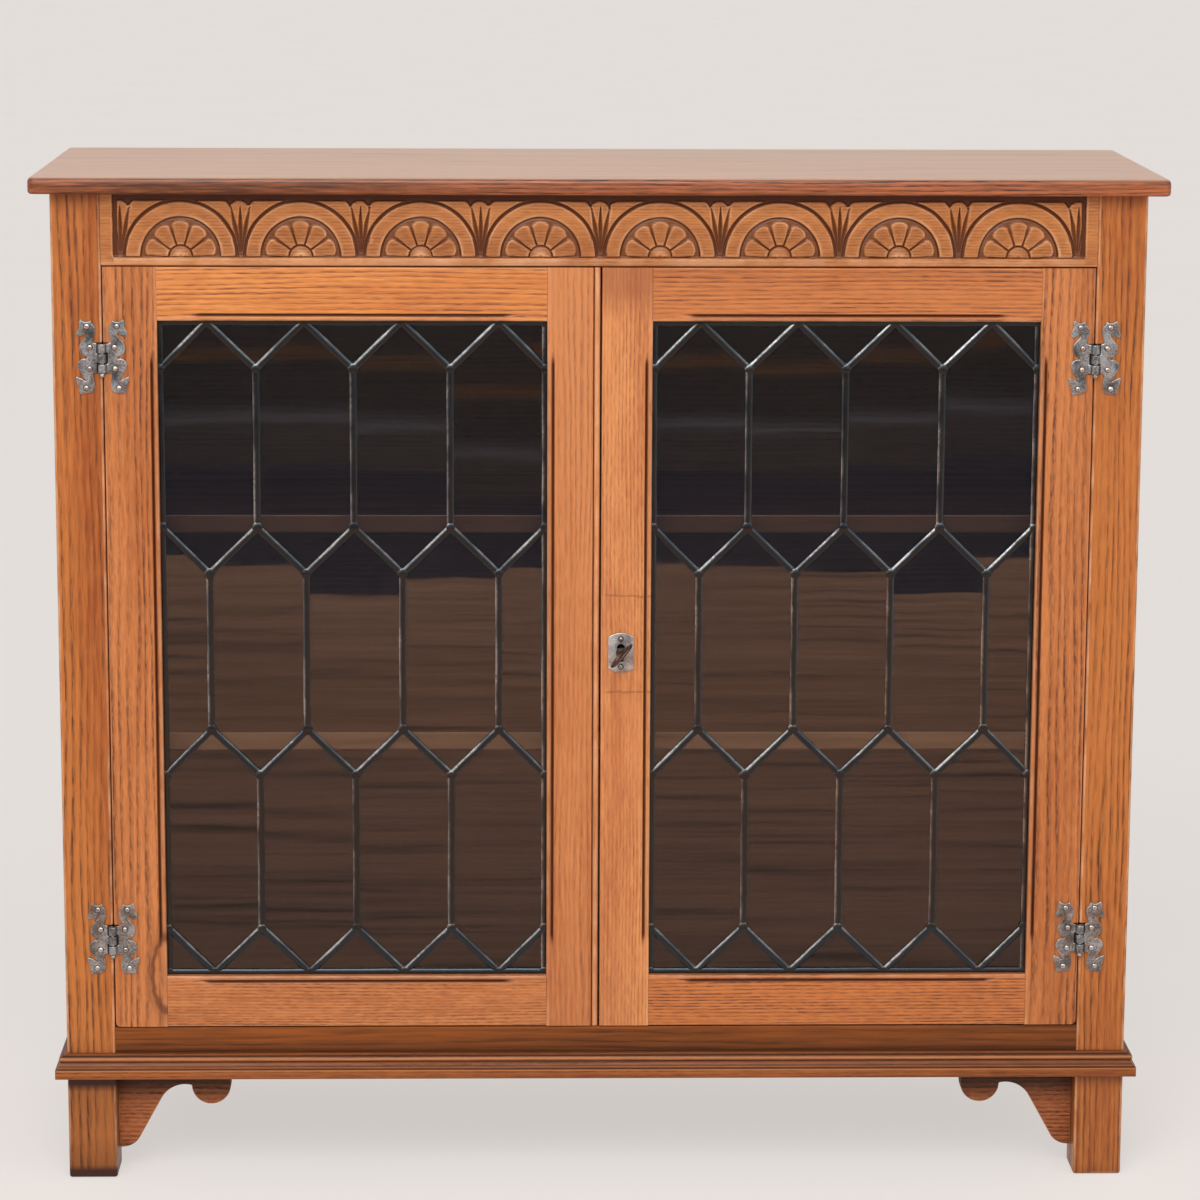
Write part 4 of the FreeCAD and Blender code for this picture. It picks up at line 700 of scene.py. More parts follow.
# %% Posts
POST_ROUND = 2.4
for node in ("front_post_left", "front_post_right", "rear_post_left", "rear_post_right"):
    bm = bmesh.new()
    low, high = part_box(node)
    box(bm, low, high)
    eased = round_edges(bm, [e for e in bm.edges if runs_along(e, 2) or lies_at(e, low.z)], POST_ROUND, 4)
    # The rounded faces are marked to be painted pale, as wear and as a painted highlight.
    wear_and_light = bm.verts.layers.float.new("wear_and_light")
    for vert in bm.verts:
        smooth = all(f in eased or abs(f.normal.z) > 0.9 for f in vert.link_faces)
        vert[wear_and_light] = smooth and vert.co.z > low.z + 1 * MM
    settle(node + "_eased", bm, POST_OAK, "polished_oak", node)

# %% [markdown]
# ## Door frames
# A door's stiles and rails are planed to one section: a rebate behind for the glass, and in front a scratched groove
# beside the glass that leaves a small bead. The left meeting stile has another bead on its closing edge. The section
# is one loop of points. Each point has its distance from the glass and its depth. It also has how stained it is and
# how dark its painted shade is, and how rubbed it is and how much painted highlight it takes.

# %% The section
REBATE, GLASS_SEAT, THICK = 8.0, 6.0, 20.0
SIGHT_EDGE = (
    (0, GLASS_SEAT, 0.3, 0), (0, 1.7, 0.4, 0.2), (0.5, 0.55, 0.35, 0.7), (1.5, 0.05, 0.3, 0.5),
    (3.0, 0.05, 0.35, 0.1), (4.0, 0.5, 0.7, 0), (5.1, 2.2, 1, 0), (6.3, 0.5, 0.75, 0), (7.0, 0.0, 0, 0),
)
PLAIN_EDGE = ((-1.6, 0.0, 0, 0), (-0.6, 0.35, 0, 0.5), (0, 1.4, 0, 0.2))
CLOSING_BEAD = (
    (-6.6, 0.0, 0, 0), (-6.0, 0.5, 0.5, 0), (-5.5, 2.2, 0.9, 0), (-4.9, 0.9, 0.3, 0), (-4.1, 0.2, 0, 0.5),
    (-2.6, 0.0, 0, 0.9), (-1.1, 0.4, 0, 0.5), (-0.2, 1.5, 0, 0), (0, 2.4, 0.2, 0),
)


def section(width, worked, closing_bead, rebate):
    """The loop of (distance from the glass, depth, staining and painted shade, rubbing and painted highlight). Where
    it isn't worked the groove stays flat.
    """
    sight = list(SIGHT_EDGE)
    if not worked:
        flat = [(a, 0.0 if a > 1 else y / 2, 0, rub_and_light) for a, y, _, rub_and_light in SIGHT_EDGE[1:]]
        sight = [(0, GLASS_SEAT, 0, 0)] + flat
    edge = [(width + a, *rest) for a, *rest in (CLOSING_BEAD if closing_bead else PLAIN_EDGE)]
    back = [(width, THICK, 0.6, 0), (rebate, THICK, 0, 0), (rebate, GLASS_SEAT if rebate else 13.0, 0, 0)]
    return sight + edge + back


print(len(section(46.5, True, False, REBATE)), "points in the plain section")

# %% [markdown]
# The loop is pulled along the piece in a few steps. The groove is stopped before each corner: at the ends its points
# come back up to the face.

# %% A planed member
def closed_loop(bm, points):
    """Points joined in a ring; returns the points and the ring's edges."""
    loop = [bm.verts.new(p) for p in points]
    return loop, [bm.edges.new((loop[i - 1], loop[i])) for i in range(len(loop))]


def pull(bm, ring):
    """Pulls a ring of edges into a new band; returns the new points and their ring."""
    made = bmesh.ops.extrude_edge_only(bm, edges=ring)["geom"]
    loop = [g for g in made if isinstance(g, bmesh.types.BMVert)]
    return loop, [g for g in made if isinstance(g, bmesh.types.BMEdge) and all(v in loop for v in g.verts)]


def close_holes(bm):
    """Closes every open border with a face."""
    bmesh.ops.holes_fill(bm, edges=[e for e in bm.edges if e.is_boundary], sides=0)


RUN_OUT, SHOULDER = 14.0, 0.2


def planed_member(start, finish, width, place, groove, closing_bead=False, corner=(), stopped=None):
    """Pulls the section from start to finish; place(a, y, s) puts a section point at a distance s along. Extra steps
    let a corner at the start be rounded, and the rebate behind the glass can be stopped between two distances."""
    bm = bmesh.new()
    # Two layers: stain and painted shade, and wear and painted highlight.
    stain_and_shade, rub_and_light = bm.verts.layers.float.new("carved"), bm.verts.layers.float.new("wear_and_light")
    g0, g1 = groove
    steps = [start, *(start + s for s in corner), g0, g0 + RUN_OUT, g1 - RUN_OUT, g1, finish]
    low, high = stopped or (start, finish)
    steps += [low - SHOULDER, low, high, high + SHOULDER] if stopped else []
    loop, ring = closed_loop(bm, [(0, 0, 0)] * len(section(width, False, closing_bead, REBATE)))
    for s in sorted(steps):
        if s > start:
            loop, ring = pull(bm, ring)
        points = section(width, g0 < s < g1, closing_bead, REBATE if low <= s <= high else 0.0)
        for vert, (a, y, soaked_and_shaded, rubbed_and_lit) in zip(loop, points):
            vert.co = place(a, y, s)
            vert[stain_and_shade], vert[rub_and_light] = soaked_and_shaded, rubbed_and_lit
    close_holes(bm)
    bmesh.ops.recalc_face_normals(bm, faces=bm.faces)
    return bm


print("a groove runs out over", RUN_OUT, "mm")

# %% [markdown]
# The key goes through the right meeting stile. The plate in front shows the keyhole's real outline, so the hole
# in the wood behind it is a plain mortise: four cuts round its place, and the face between them pushed in.

# %% Mortise for the key
KEY_X, KEY_Z, PLATE_Z = 19.4, 482.2, 480.5
MORTISE_HALF, MORTISE_LOW, MORTISE_HIGH, MORTISE_DEEP = 3.6, 472.2, 488.6, 15.0


def cut_keyhole(bm):
    """Sinks a small mortise into the front of a stile, behind the keyhole plate."""
    low, high = at(KEY_X - MORTISE_HALF, 0, MORTISE_LOW), at(KEY_X + MORTISE_HALF, 0, MORTISE_HIGH)
    for point, way in ((low, (1, 0, 0)), (high, (1, 0, 0)), (low, (0, 0, 1)), (high, (0, 0, 1))):
        everything = [*bm.verts, *bm.edges, *bm.faces]
        bmesh.ops.bisect_plane(bm, geom=everything, plane_co=point, plane_no=way, dist=1e-6)
    middle = (low + high) / 2
    front = min(bm.faces, key=lambda f: (f.calc_center_median() - middle).length)
    sunk = bmesh.ops.extrude_discrete_faces(bm, faces=[front])["faces"][0]
    bmesh.ops.translate(bm, verts=sunk.verts, vec=(0, MORTISE_DEEP * MM, 0))
    # The mortise floor is painted fully dark, as the shade deep in the hole.
    for vert in sunk.verts:
        vert[bm.verts.layers.float["carved"]] = 1.0
    print("mortise", [round(c / MM, 1) for c in high - low], "mm")


print("key at", KEY_X, "mm across and", KEY_Z, "mm up")

# %% [markdown]
# Each door is two stiles the full height of the door, with two rails between them. The lower outer corners
# are rounded. The sight is the opening that the frame leaves for the glass.

# %% Stiles and rails
SIGHT_LOW, SIGHT_HIGH = 187.0, 772.8
SIGHT_OUTER, SIGHT_INNER = 382.7, 45.7
DOOR_LOW, DOOR_HIGH = 140.4, 819.4
STILE_WIDE, RAIL_WIDE = 46.5, 46.6
STOP, CORNER = 24.0, 4.5
UPRIGHT = {"groove": (SIGHT_LOW + STOP, SIGHT_HIGH - STOP), "stopped": (SIGHT_LOW - REBATE, SIGHT_HIGH + REBATE)}
ROUNDING = [CORNER * share for share in (0.06, 0.2, 0.45, 1.0)]


def corner_loss(height):
    """How far the rounded corner cuts into a door's outer edge at a height."""
    below = max(0.0, CORNER - (height - DOOR_LOW))
    return CORNER - math.sqrt(max(0.0, CORNER ** 2 - below ** 2))


for side, way, closing in (("left", -1, -0.2), ("right", 1, 1.6)):
    put = lambda a, y, s: at(way * (SIGHT_OUTER + min(a, STILE_WIDE - corner_loss(s))), y, s)
    bm = planed_member(DOOR_LOW, DOOR_HIGH, STILE_WIDE, put, corner=ROUNDING, **UPRIGHT)
    node = f"{side}_door_hinge_stile"
    settle(node + "_planed", bm, STILE_OAK, "polished_oak", node)

    put = lambda a, y, s: at(way * (SIGHT_INNER - a), y, s)
    bm = planed_member(DOOR_LOW, DOOR_HIGH, SIGHT_INNER - closing, put, closing_bead=side == "left", **UPRIGHT)
    if side == "right":
        cut_keyhole(bm)
    node = f"{side}_door_meeting_stile"
    settle(node + "_planed", bm, MEETING_OAKS[side], "polished_oak", node)

    for name, sight, outward in (("top", SIGHT_HIGH, 1), ("bottom", SIGHT_LOW, -1)):
        put = lambda a, y, s: at(way * s, y, sight + outward * a)
        bm = planed_member(SIGHT_INNER, SIGHT_OUTER, RAIL_WIDE, put, (SIGHT_INNER + STOP, SIGHT_OUTER - STOP))
        node = f"{side}_door_{name}_rail"
        settle(node + "_planed", bm, RAIL_OAKS[f"{side}_{name}"], "polished_oak", node)

# %% [markdown]
# ## Carved frieze
# Eight lunettes stand in a row, each a flat band over a fan of five petals round a half-round hub, with three
# gouge cuts between neighbours. The carver cuts into a flat board, so the mesh starts flat too: half discs made
# by spinning a row of points, and grids that fill the corners between them. Their lines follow the carving,
# so a cut stays crisp with few faces. Then each point is pushed in as deep as the carver would have gone.

# %% Lunettes and gouge cuts
PITCH, BASE_LINE = 103.2, 828.0
CENTRES = [PITCH * (i - 3.5) for i in range(8)]
FIELD_TOP, FIELD_END = 876.2, 418.4
DEEPEST, HUB, HALF_PETAL = 3.0, 9.6, 18.0


def slope(value, start, end):
    """Runs smoothly from 0 to 1 between two values."""
    t = min(1.0, max(0.0, (value - start) / (end - start)))
    return t * t * (3 - 2 * t)


def fan_depth(radius, angle):
    """Depth inside a lunette's band: a domed hub, five petals with rounded ends, and a sunk ring."""
    if radius < HUB:
        return 0.3 + 1.5 * (radius / HUB) ** 4
    petal = abs(math.degrees(angle) % (2 * HALF_PETAL) - HALF_PETAL)
    gap = radius * math.sin(math.radians(max(0.0, HALF_PETAL - petal)))
    tip = 25.2 + 6.2 * math.sqrt(max(0.0, 1 - (petal / HALF_PETAL) ** 2))
    leaf = 2.7 - 2.0 * slope(gap, 0.0, 1.4 + 1.2 * slope(radius, 15.0, 27.0))
    leaf = leaf + 0.4 * slope(gap, 2.5, 8.0) - 0.3 * slope(radius, 22.0, 30.0)
    leaf = leaf + (2.1 - leaf) * slope(radius, tip - 0.9, tip + 0.5)
    return max(leaf, 2.8 * (1 - slope(radius, 10.2, 11.4)))


def dart_depth(x, z):
    """Depth of the three gouge cuts and two nicks between lunettes; x from the middle of the corner."""
    cut = 2.3 * (1 - slope(z, 838.0, 850.0))
    rise = (z - 832.0) / 40.0
    for lean in (-1, 0, 1):
        if 0 < rise < 1:
            middle = lean * (1.0 + 7.2 * rise ** 1.2)
            half = 2.7 * math.sin(math.pi * min(1.0, 0.25 + 0.75 * rise)) ** 0.8 + 0.2
            cut = max(cut, 2.8 * (1 - min(1.0, abs(x - middle) / half) ** 1.5))
    wide = 6.4 * min(1.0, max(0.0, (z - FIELD_TOP + 5.6) / 5.6)) ** 1.7
    for nick in (-8.6, 6.8):
        if wide > 0.05:
            cut = max(cut, 2.9 * (1 - slope(abs(x - nick), wide * 0.7, wide)))
    return cut


print(len(CENTRES), "lunettes,", PITCH, "mm apart")

# %% [markdown]
# A hand is never quite steady, so the place is shaken a little before its depth is looked up. The seed of the shake
# is set, so that every run carves the same board.

# %% The carver's depth
BAND_INSIDE, BAND_OUTSIDE, RING = 34.6, 46.7, 48.7
FIRST_CORNER, LAST_CORNER = CENTRES[0] - PITCH / 2, CENTRES[-1] + PITCH / 2
SEED = 11
noise.seed_set(SEED)


def carved_depth(x, z):
    """How deep the carver cut at a place on the board, in millimetres."""
    shake = noise.noise_vector(Vector((x / 17.0, 3.1, z / 17.0))) * 0.45
    x, z = x + shake.x, z + shake.z * 0.6
    groove = 2.2 * max(0.0, 1 - abs(z - BASE_LINE) / 1.3)
    if abs(x) > FIELD_END + 1.4 or z < BASE_LINE:
        return groove if abs(x) < FIELD_END + 0.6 else 0.0
    centre = min(CENTRES, key=lambda c: abs(c - x))
    radius, angle = math.hypot(x - centre, z - BASE_LINE), math.atan2(z - BASE_LINE, x - centre)
    end = 2.9 * slope(abs(x), FIELD_END - 3.6, FIELD_END - 2.4)
    end = end * (1 - slope(abs(x), FIELD_END + 0.5, FIELD_END + 1.4))
    if radius < BAND_INSIDE:
        depth = fan_depth(radius, angle)
        depth = depth + (2.8 - depth) * slope(radius, 32.9, 34.0)
    elif radius < BAND_OUTSIDE:
        depth = 2.8 * (1 - slope(radius, 34.4, 35.5)) + 0.15 * slope(radius, 45.4, BAND_OUTSIDE)
    else:
        ring = 2.9 * (1 - slope(abs(radius - RING), 0.7, 2.1))
        sunk = 2.9 * slope(z, FIELD_TOP - 0.5, FIELD_TOP + 0.5)
        corner = FIRST_CORNER + PITCH * round((x - FIRST_CORNER) / PITCH)
        corner = max(FIRST_CORNER, min(LAST_CORNER, corner))
        depth = max(ring, sunk, dart_depth(x - corner, z))
    return min(DEEPEST, max(depth, end, groove))


print("hub top", round(carved_depth(CENTRES[0], 830.5), 2), "mm below the face")

# %% [markdown]
# The spin gives each half disc rings that lie on the band's edges and spokes that lie on the petals' cuts.
# A corner grid is bent so that its rows end on the discs' spokes, and then all shared points merge.

# %% The carved board
RADII = (
    0, 3, 6, 8, 9.2, 9.9, 10.7, 11.6, 14, 17, 20, 23, 25.2, 26.8, 28, 29.2, 30.3, 31.3, 32.2, 33.0, 33.8, 34.5, 35.0,
    35.6, 38, 42, 45.4, 46.6, 47.3, 48.0, 48.7, 49.4, 50.0, 50.6,
)
TURN_STEPS, ACROSS_STEPS, CROWDING = 90, 36, 1.35


def spin_line(bm, points, centre, axis, steps, turns=1.0):
    """Turns a line of points round an axis. A whole turn is closed."""
    line = [bm.verts.new(p) for p in points]
    edges = [bm.edges.new(pair) for pair in zip(line, line[1:])]
    turn = {"angle": turns * 2 * math.pi, "steps": steps, "use_merge": turns == 1.0}
    bmesh.ops.spin(bm, geom=line + edges, cent=centre, axis=axis, **turn)


bm = bmesh.new()
for centre in CENTRES:
    spoke = [(centre + r, 0, BASE_LINE) for r in RADII]
    spin_line(bm, spoke, (centre, 0, BASE_LINE), (0, -1, 0), TURN_STEPS, turns=0.5)
rim, half, end = RADII[-1], PITCH / 2, FIELD_END - abs(FIRST_CORNER)
corners = [(c + half, half, half) for c in CENTRES[:-1]]
corners += [(FIRST_CORNER, end, half), (LAST_CORNER, half, end)]
for middle, left, right in corners:
    grid = {"x_segments": ACROSS_STEPS, "y_segments": TURN_STEPS // 2, "size": 1.0}
    for vert in bmesh.ops.create_grid(bm, **grid)["verts"]:
        across, turn = vert.co.x, (vert.co.y + 1) / 2 * math.pi / 2
        reach = left if across < 0 else right
        bow = rim * math.cos(turn) if reach == half else 0.0
        share = math.copysign(abs(across) ** CROWDING, across)
        vert.co = (middle + share * (reach - bow), 0, BASE_LINE + rim * math.sin(turn))
bmesh.ops.remove_doubles(bm, verts=bm.verts, dist=0.008)
print("flat carving layout:", len(bm.faces), "faces")

# %% [markdown]
# Plain strips run round the carved field: a fillet below, the sunk margin above and the ends beside the posts.
# They are pulled out of the layout's own border, so no point is left loose. The border is then pulled back
# to the board's thickness and closed behind.

# %% Borders, carving and thickness
FILLET = ((827.2, 0), (826.6, 0), (821.4, 0), (820.4, 0.6))
MARGIN_TOP, BOARD_ENDS, BOARD_THICK = 883.0, (419.2, 420.0, 421.4, 430.0), 20.6


def pull_border(bm, picked, move):
    """Pulls the border edges whose points pass a test out by a move given as a function of a point."""
    border = [e for e in bm.edges if e.is_boundary and all(picked(v.co) for v in e.verts)]
    made = bmesh.ops.extrude_edge_only(bm, edges=border)["geom"]
    for vert in (g for g in made if isinstance(g, bmesh.types.BMVert)):
        vert.co = move(vert.co)


for level, back in FILLET:
    lowest = min(v.co.z for v in bm.verts)
    pull_border(bm, lambda p: p.z < lowest + 0.02, lambda p: Vector((p.x, back, level)))
highest = max(v.co.z for v in bm.verts)
pull_border(bm, lambda p: p.z > highest - 0.02, lambda p: Vector((p.x, 0, MARGIN_TOP)))
for edge in BOARD_ENDS:
    widest = max(v.co.x for v in bm.verts)
    pull_border(bm, lambda p: abs(p.x) > widest - 0.02, lambda p: Vector((math.copysign(edge, p.x), p.y, p.z)))
for vert in bm.verts:
    vert.co.y += carved_depth(vert.co.x, vert.co.z)
# Each point is painted darker the deeper it lies, as stain and shade. Points that stand proud of their neighbours are
# painted paler, as wear and a painted highlight.
stain_and_shade_depth, rubbed_and_lit = bm.verts.layers.float.new("carved"), bm.verts.layers.float.new("wear_and_light")
for vert in bm.verts:
    vert[stain_and_shade_depth] = vert.co.y / DEEPEST if vert.co.z > 821 else 0.0
    around = [e.other_vert(vert).co.y for e in vert.link_edges]
    vert[rubbed_and_lit] = min(1.0, max(0.0, (sum(around) / len(around) - vert.co.y) / 0.3))
pull_border(bm, lambda p: True, lambda p: Vector((p.x, BOARD_THICK, p.z)))
bmesh.ops.contextual_create(bm, geom=[e for e in bm.edges if e.is_boundary])
bmesh.ops.transform(bm, matrix=Matrix.Translation((0, FACE, 0)) @ Matrix.Scale(MM, 4), verts=bm.verts)
bmesh.ops.recalc_face_normals(bm, faces=bm.faces)
settle("carved_frieze", bm, FRIEZE_OAK, "polished_oak", "frieze_rail", crease=75)

# %% [markdown]
# ## Base
# The base moulding and the brackets have their right shape in the frame already. A copy of each is merged into
# one skin, its flat triangles are joined, and its sharp arrises are eased a little, as sandpaper does.

# %% Copies of solids
def from_solid(node):
    """A merged copy of a solid's mesh, with its flat triangles joined."""
    bm = bmesh.new()
    bm.from_mesh(frame["nodes"][node].data)
    bmesh.ops.remove_doubles(bm, verts=bm.verts, dist=0.01 * MM)
    bmesh.ops.dissolve_limit(bm, angle_limit=math.radians(1), verts=bm.verts, edges=bm.edges)
    return bm


def sharp(bm):
    """The edges where two faces meet at more than 40 degrees."""
    return [e for e in bm.edges if len(e.link_faces) == 2 and e.calc_face_angle(0) > math.radians(40)]


for node, finish, ease in (
    ("base_moulding_front", BASE_OAK, 0.3), ("base_moulding_left", BASE_SIDE_OAK, 0.3),
    ("base_moulding_right", BASE_SIDE_OAK, 0.3), ("bottom_rail", RAIL_BASE_OAK, 0.0),
    ("bracket_left", BRACKET_OAK, 0.9), ("bracket_right", BRACKET_OAK, 0.9),
):
    bm = from_solid(node)
    # Eased faces are marked to be painted pale, as wear and as a painted highlight.
    wear_and_light = bm.verts.layers.float.new("wear_and_light")
    if ease:
        eased = round_edges(bm, sharp(bm), ease, 2)
        for vert in bm.verts:
            vert[wear_and_light] = all(f in eased for f in vert.link_faces)
    settle(node + "_eased", bm, finish, "dark_oak", node)

# %% [markdown]
# ## Shelves
# Only the front edges of the two shelves catch light behind the glass. A plain board with its front edges eased has a
# thin arris, which is painted bright as a highlight, as in the photograph.

# %% Shelves
NOSING = 1.5
for node in ("shelf_lower", "shelf_upper"):
    bm = from_solid(node)
    front = min(v.co.y for v in bm.verts)
    nosing = [e for e in sharp(bm) if runs_along(e, 0) and all(v.co.y < front + 1e-5 for v in e.verts)]
    round_edges(bm, nosing, NOSING, 3)
    settle(node + "_eased", bm, SHELF_OAK, "plain_oak", node)

# %% [markdown]
# ## Leaded lights
# Lead came is an H in section: two domed leaves joined by a heart, with the glass between the leaves. Strips of
# it make a lattice of tall hexagons. Its rows of points zigzag between seams, where uprights start, and peaks.

# %% The lattice
BORDER, RISE = 1.4, 41.0


def lattice(x0, x1):
    """The centre lines of a door's cames, as (x, z, x, z), and the joints between them."""
    left, right, top, bottom = x0 + BORDER, x1 - BORDER, SIGHT_HIGH - BORDER, SIGHT_LOW + BORDER
    pitch, upright = (x1 - x0) / 4, (top - bottom - 4 * RISE) / 3
    seams = [left] + [x0 + i * pitch for i in (1, 2, 3)] + [right]
    peaks = [x0 + (i + 0.5) * pitch for i in range(4)]
    rows = []
    for uprights, seam_rises, peak_rises in ((0, 1, 0), (1, 1, 2), (2, 3, 2), (3, 3, 4)):
        seam_z, peak_z = (top - rises * RISE - uprights * upright for rises in (seam_rises, peak_rises))
        row = [(left, seam_z)]
        for peak, seam in zip(peaks, seams[1:]):
            row += [(peak, peak_z), (seam, seam_z)]
        rows.append(row)
    lines = [(left, bottom, right, bottom), (left, top, right, top)]
    lines += [(left, bottom, left, top), (right, bottom, right, top)]
    for row in rows:
        lines += [(*a, *b) for a, b in zip(row, row[1:])]
    for upper, lower, picked in ((0, 1, (2, 4, 6)), (1, 2, (1, 3, 5, 7)), (2, 3, (2, 4, 6))):
        lines += [(*rows[upper][i], *rows[lower][i]) for i in picked]
    joints = [p for row in rows for p in row] + [(x, z) for x in (left, right) for z in (bottom, top)]
    return lines, joints


print(len(lattice(SIGHT_INNER, SIGHT_OUTER)[0]), "strips of lead in a door")

# %% [markdown]
# The H is drawn once and pulled along each line of the lattice in short steps that wander a little, because lead
# is soft. Every joint is soldered on both faces with a flat blob.

# %% Cames and solder
H_HALF = [(0.8, 7.25), (3.0, 7.25), (3.0, 6.95), (2.3, 6.4), (1.1, 6.08)]
H_FRONT, H_BACK = 6.0, 11.6
H_BOTH = H_FRONT + H_BACK
H_SECTION = H_HALF + [(0, H_FRONT)] + [(-a, y) for a, y in reversed(H_HALF)]
H_SECTION += [(-a, H_BOTH - y) for a, y in H_HALF] + [(0, H_BACK)] + [(a, H_BOTH - y) for a, y in reversed(H_HALF)]
STEP, DRIFT, BLOB_THICK, BLOB_DEPTHS = 28.0, 0.25, 0.48, (6.2, 11.4)
wander = random.Random(SEED)
for side, x0, x1 in (("left", -SIGHT_OUTER, -SIGHT_INNER), ("right", SIGHT_INNER, SIGHT_OUTER)):
    bm = bmesh.new()
    lines, joints = lattice(x0, x1)
    for ax, az, bx, bz in lines:
        length = math.hypot(bx - ax, bz - az)
        ux, uz = (bx - ax) / length, (bz - az) / length
        steps = max(2, round(length / STEP))
        loop, ring = closed_loop(bm, [at(ax + a * uz, y, az - a * ux) for a, y in H_SECTION])
        for k in range(1, steps + 1):
            loop, ring = pull(bm, ring)
            s = length * k / steps
            drift = wander.uniform(-DRIFT, DRIFT) if k < steps else 0.0
            for vert, (a, y) in zip(loop, H_SECTION):
                vert.co = at(ax + ux * s + (a + drift) * uz, y, az + uz * s - (a + drift) * ux)
        close_holes(bm)
    for x, z in joints:
        for y in BLOB_DEPTHS:
            blob = bmesh.ops.create_uvsphere(bm, u_segments=12, v_segments=6, radius=MM)["verts"]
            wide = wander.uniform(3.9, 4.8)
            tall = wide * wander.uniform(0.85, 1.1)
            bmesh.ops.rotate(bm, verts=blob, matrix=Matrix.Rotation(math.pi / 2, 3, "X"))
            bmesh.ops.scale(bm, verts=blob, vec=(wide, BLOB_THICK, tall))
            bmesh.ops.translate(bm, verts=blob, vec=at(x, y, z))
    bmesh.ops.recalc_face_normals(bm, faces=bm.faces)
    settle(f"{side}_door_cames", bm, LEAD, "lead_came", f"{side}_door_leads")

# %% [markdown]
# Each quarry is a separate piece of glass and sits at its own small tilt in the lead, so that neighbours mirror
# slightly different things. The solids give the outlines; a copy is thinned, to have room in the lead, and tilted
# pane by pane.

# %% Quarries
LEAN, THIN = 0.42, 0.6
for side in ("left", "right"):
    bm = from_solid(f"{side}_door_glass")
    left_over, panes = set(bm.verts), []
    while left_over:
        pane, edge = set(), [left_over.pop()]
        while edge:
            vert = edge.pop()
            pane.add(vert)
            edge += [e.other_vert(vert) for e in vert.link_edges if e.other_vert(vert) not in pane]
        left_over -= pane
        panes.append(pane)
    for pane in sorted(panes, key=lambda p: tuple(round(c, 5) for c in min(v.co[:] for v in p))):
        middle = sum((v.co for v in pane), Vector()) / len(pane)
        tilt = Matrix.Rotation(math.radians(wander.uniform(-LEAN, LEAN)), 3, "X")
        tilt = tilt @ Matrix.Rotation(math.radians(wander.uniform(-LEAN, LEAN)), 3, "Z")
        bmesh.ops.scale(bm, verts=list(pane), vec=(1, THIN, 1), space=Matrix.Translation(-middle))
        bmesh.ops.rotate(bm, verts=list(pane), cent=middle, matrix=tilt)
    print(f"{side} door: {len(panes)} quarries")
    settle(f"{side}_door_quarries", bm, GLASS, "clear_glass", f"{side}_door_glass", crease=20)

# %% [markdown]
# ## Hinges, nails and keyhole plate
# The hinge leaves and the keyhole plate are cast and brushed, so no edge on them is sharp. Their outlines have many
# short edges, on which a bevel would cross itself. A remesh into small voxels, smoothed a few times, rounds them all.
# The knuckles are first parted a little more, so that their rounded ends show.

# %% Leaves and plate
VOXEL = 0.35
SPLIT, KNUCKLE_ENDS = 4.2, {"post": 3.7, "door": 4.9}
settle("escutcheon_cast", from_solid("escutcheon"), PLATE_IRON, "hammered_iron", "escutcheon", cast=VOXEL)
for level, middle in HINGE_Z.items():
    for side in ("left", "right"):
        for leaf, knuckle_end in KNUCKLE_ENDS.items():
            node = f"hinge_{level}_{side}_{leaf}_leaf"
            bm = from_solid(node)
            for vert in bm.verts:
                rise = vert.co.z / MM - middle
                if abs(abs(rise) - SPLIT) < 0.2:
                    vert.co.z = (middle + math.copysign(knuckle_end, rise)) * MM
            settle(node + "_cast", bm, IRON, "hammered_iron", node, cast=VOXEL)

# %% [markdown]
# A nail head is a shallow dome: an arc of a few points, spun once round. The spin's own merge closes its side, and
# the hole underneath is filled.

# %% Domed nails
NAILS = ((12.9, 27.6), (10.6, 9.4), (11.0, -9.2), (14.2, -26.0))
DOME, ARC_STEPS, PIN_RISE = 1.5, 5, 12.4


def nail_heads(node, places, seat, radius):
    """Domed heads at (x, z) places, on the surface at depth seat."""
    bm = bmesh.new()
    turns = [math.pi / 2 * k / ARC_STEPS for k in range(ARC_STEPS + 1)]
    arc = [(radius * math.sin(t), DOME * math.cos(t)) for t in turns] + [(radius, -0.3)]
    for x, z in places:
        spin_line(bm, [at(x + r, seat - h, z) for r, h in arc], at(x, seat, z), (0, 1, 0), 18)
    bmesh.ops.remove_doubles(bm, verts=bm.verts, dist=0.005 * MM)
    close_holes(bm)
    bmesh.ops.recalc_face_normals(bm, faces=bm.faces)
    settle(node.replace("nails", "heads").replace("pins", "heads"), bm, NAIL_STEEL, "bright_steel", node)


groups = {"post_hinge_nails": [], "left_door_hinge_nails": [], "right_door_hinge_nails": []}
for side, way in (("left", -1), ("right", 1)):
    for height in HINGE_Z.values():
        for out, up in NAILS:
            groups["post_hinge_nails"].append((way * (HINGE_X + out), height + up))
            groups[f"{side}_door_hinge_nails"].append((way * (HINGE_X - out), height + up))
for node, places in groups.items():
    nail_heads(node, places, seat=-1.6, radius=2.7)
nail_heads("escutcheon_pins", [(KEY_X, PLATE_Z - PIN_RISE), (KEY_X, PLATE_Z + PIN_RISE)], seat=-1.2, radius=2.6)

# %% [markdown]
# ## Key
# The key is seen end on, with its oval bow turned to the upper right. The bow is a round bar bent to an oval: a
# circle spun round an axis, then pressed along the shank. Collar and shank are turned on a lathe, so they are spun
# too, and the bit is a small plate.

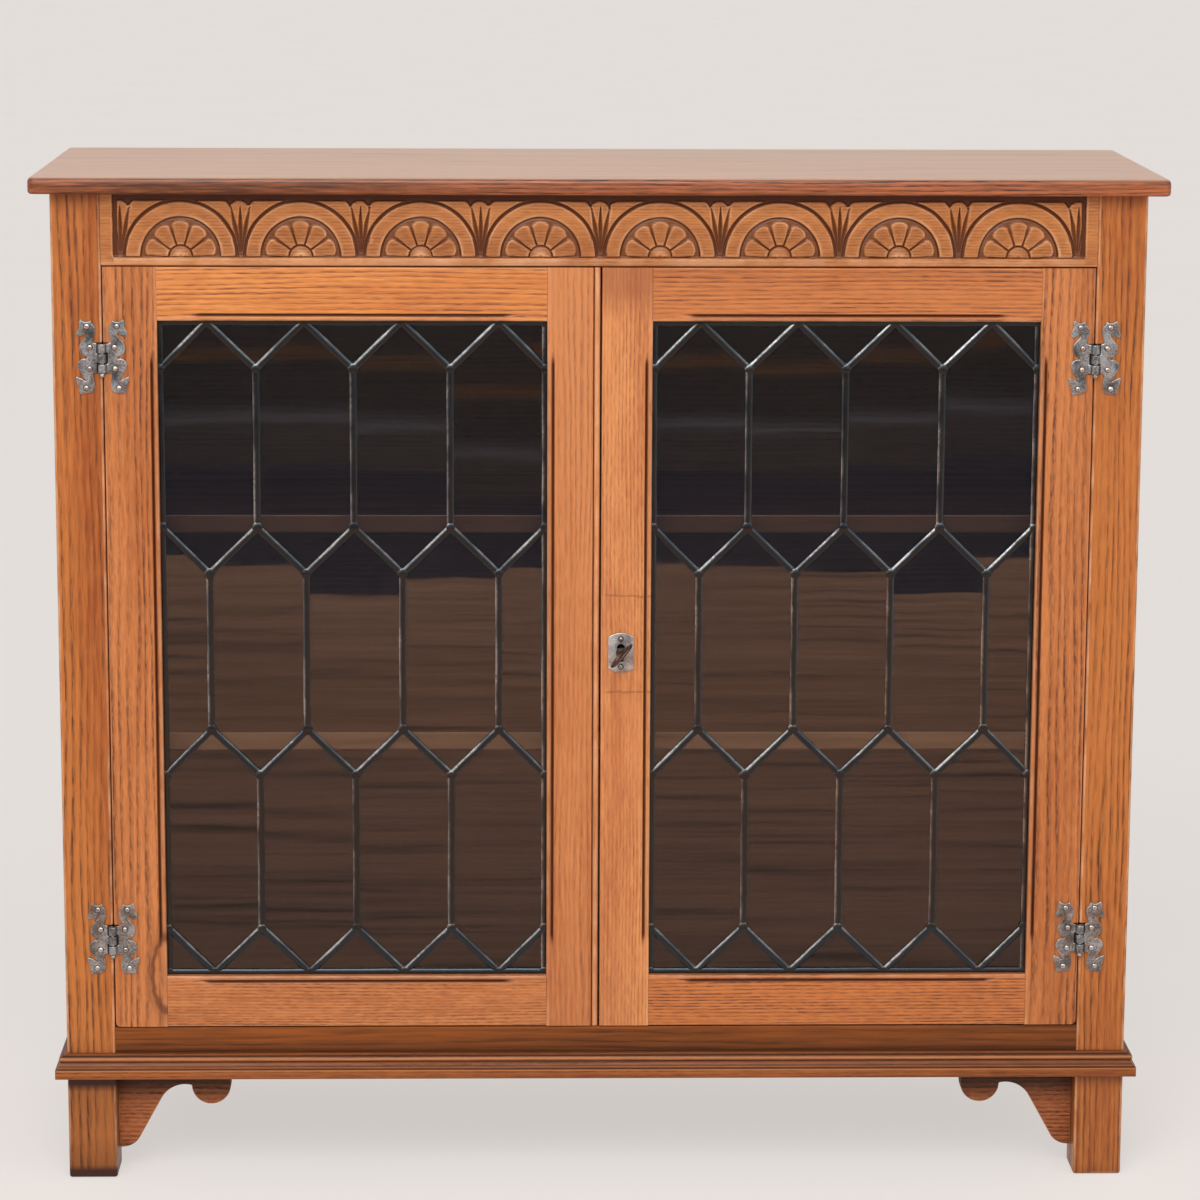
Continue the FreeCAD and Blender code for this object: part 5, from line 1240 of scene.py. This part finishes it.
# %% Key
BOW_WIDE, BOW_LONG, BOW_Y, BOW_TURN = 11.8, 8.8, -23.0, 42
SHANK = (
    (0, -15.0), (2.2, -14.6), (2.5, -13.4), (4.2, -12.3), (4.6, -11.3), (4.6, -9.3), (4.2, -8.2), (3.2, -7.4),
    (2.9, -6.6), (2.9, -3.4), (2.2, -2.6), (2.2, 30.2), (1.8, 30.6), (0, 30.6),
)
bm = bmesh.new()
bar = bmesh.ops.create_circle(bm, segments=14, radius=1.0)["verts"]
bmesh.ops.scale(bm, verts=bar, vec=(1.35, 2.0, 1.0))
bmesh.ops.rotate(bm, verts=bar, matrix=Matrix.Rotation(math.pi / 2, 3, "X"))
bmesh.ops.translate(bm, verts=bar, vec=(0, 0, BOW_WIDE))
turn = {"axis": (1, 0, 0), "angle": 2 * math.pi, "steps": 48, "use_merge": True}
bmesh.ops.spin(bm, geom=list(bm.verts) + list(bm.edges), cent=(0, 0, 0), **turn)
bmesh.ops.scale(bm, verts=bm.verts, vec=(1, BOW_LONG / BOW_WIDE, 1))
bmesh.ops.translate(bm, verts=bm.verts, vec=(0, BOW_Y, 0))
spin_line(bm, [(r, y, 0) for r, y in SHANK], (0, 0, 0), (0, 1, 0), 24)
box(bm, Vector((-1.2, 21.2, 0.5)), Vector((1.2, 28.0, 8.0)))
bmesh.ops.remove_doubles(bm, verts=bm.verts, dist=0.005)
bmesh.ops.recalc_face_normals(bm, faces=bm.faces)
turned = Matrix.Scale(MM, 4) @ Matrix.Rotation(math.radians(BOW_TURN), 4, "Y")
bmesh.ops.transform(bm, matrix=Matrix.Translation(at(KEY_X, 0, KEY_Z)) @ turned, verts=bm.verts)
settle("key_turned", bm, BRONZE, "dark_bronze", "key")

# %% [markdown]
# ## Finishes for the solids that stay
# Boards inside, panels, lock parts and bolts keep the frame's shapes. Each still gets its own finish, with the
# grain along the board.

# %% Finishes
STAYING = {
    PANEL_OAK: ("side_panel_left", "side_panel_right"),
    INSIDE_OAK: ("back_panel", "rear_top_rail", "rear_bottom_rail", "shelf_pegs", "door_stop",
                 "bottom_board", "left_door_glazing_beads", "right_door_glazing_beads"),
    NAIL_STEEL: ("hinge_pins",),
    LOCK_STEEL: ("left_door_screws", "lock_case", "lock_screws", "lock_bolt"),
    BRASS: ("upper_bolt_plate", "lower_bolt_plate", "lock_keep", "upper_door_bolt", "lower_door_bolt"),
}
for finish, nodes in STAYING.items():
    for node in nodes:
        solid = frame["nodes"][node]
        solid.data.materials.clear()
        solid.data.materials.append(finish)
    print(finish.name, "on", len(nodes), "solids")

# %% [markdown]
# ## End

# %% End
print("cabinet dressed")
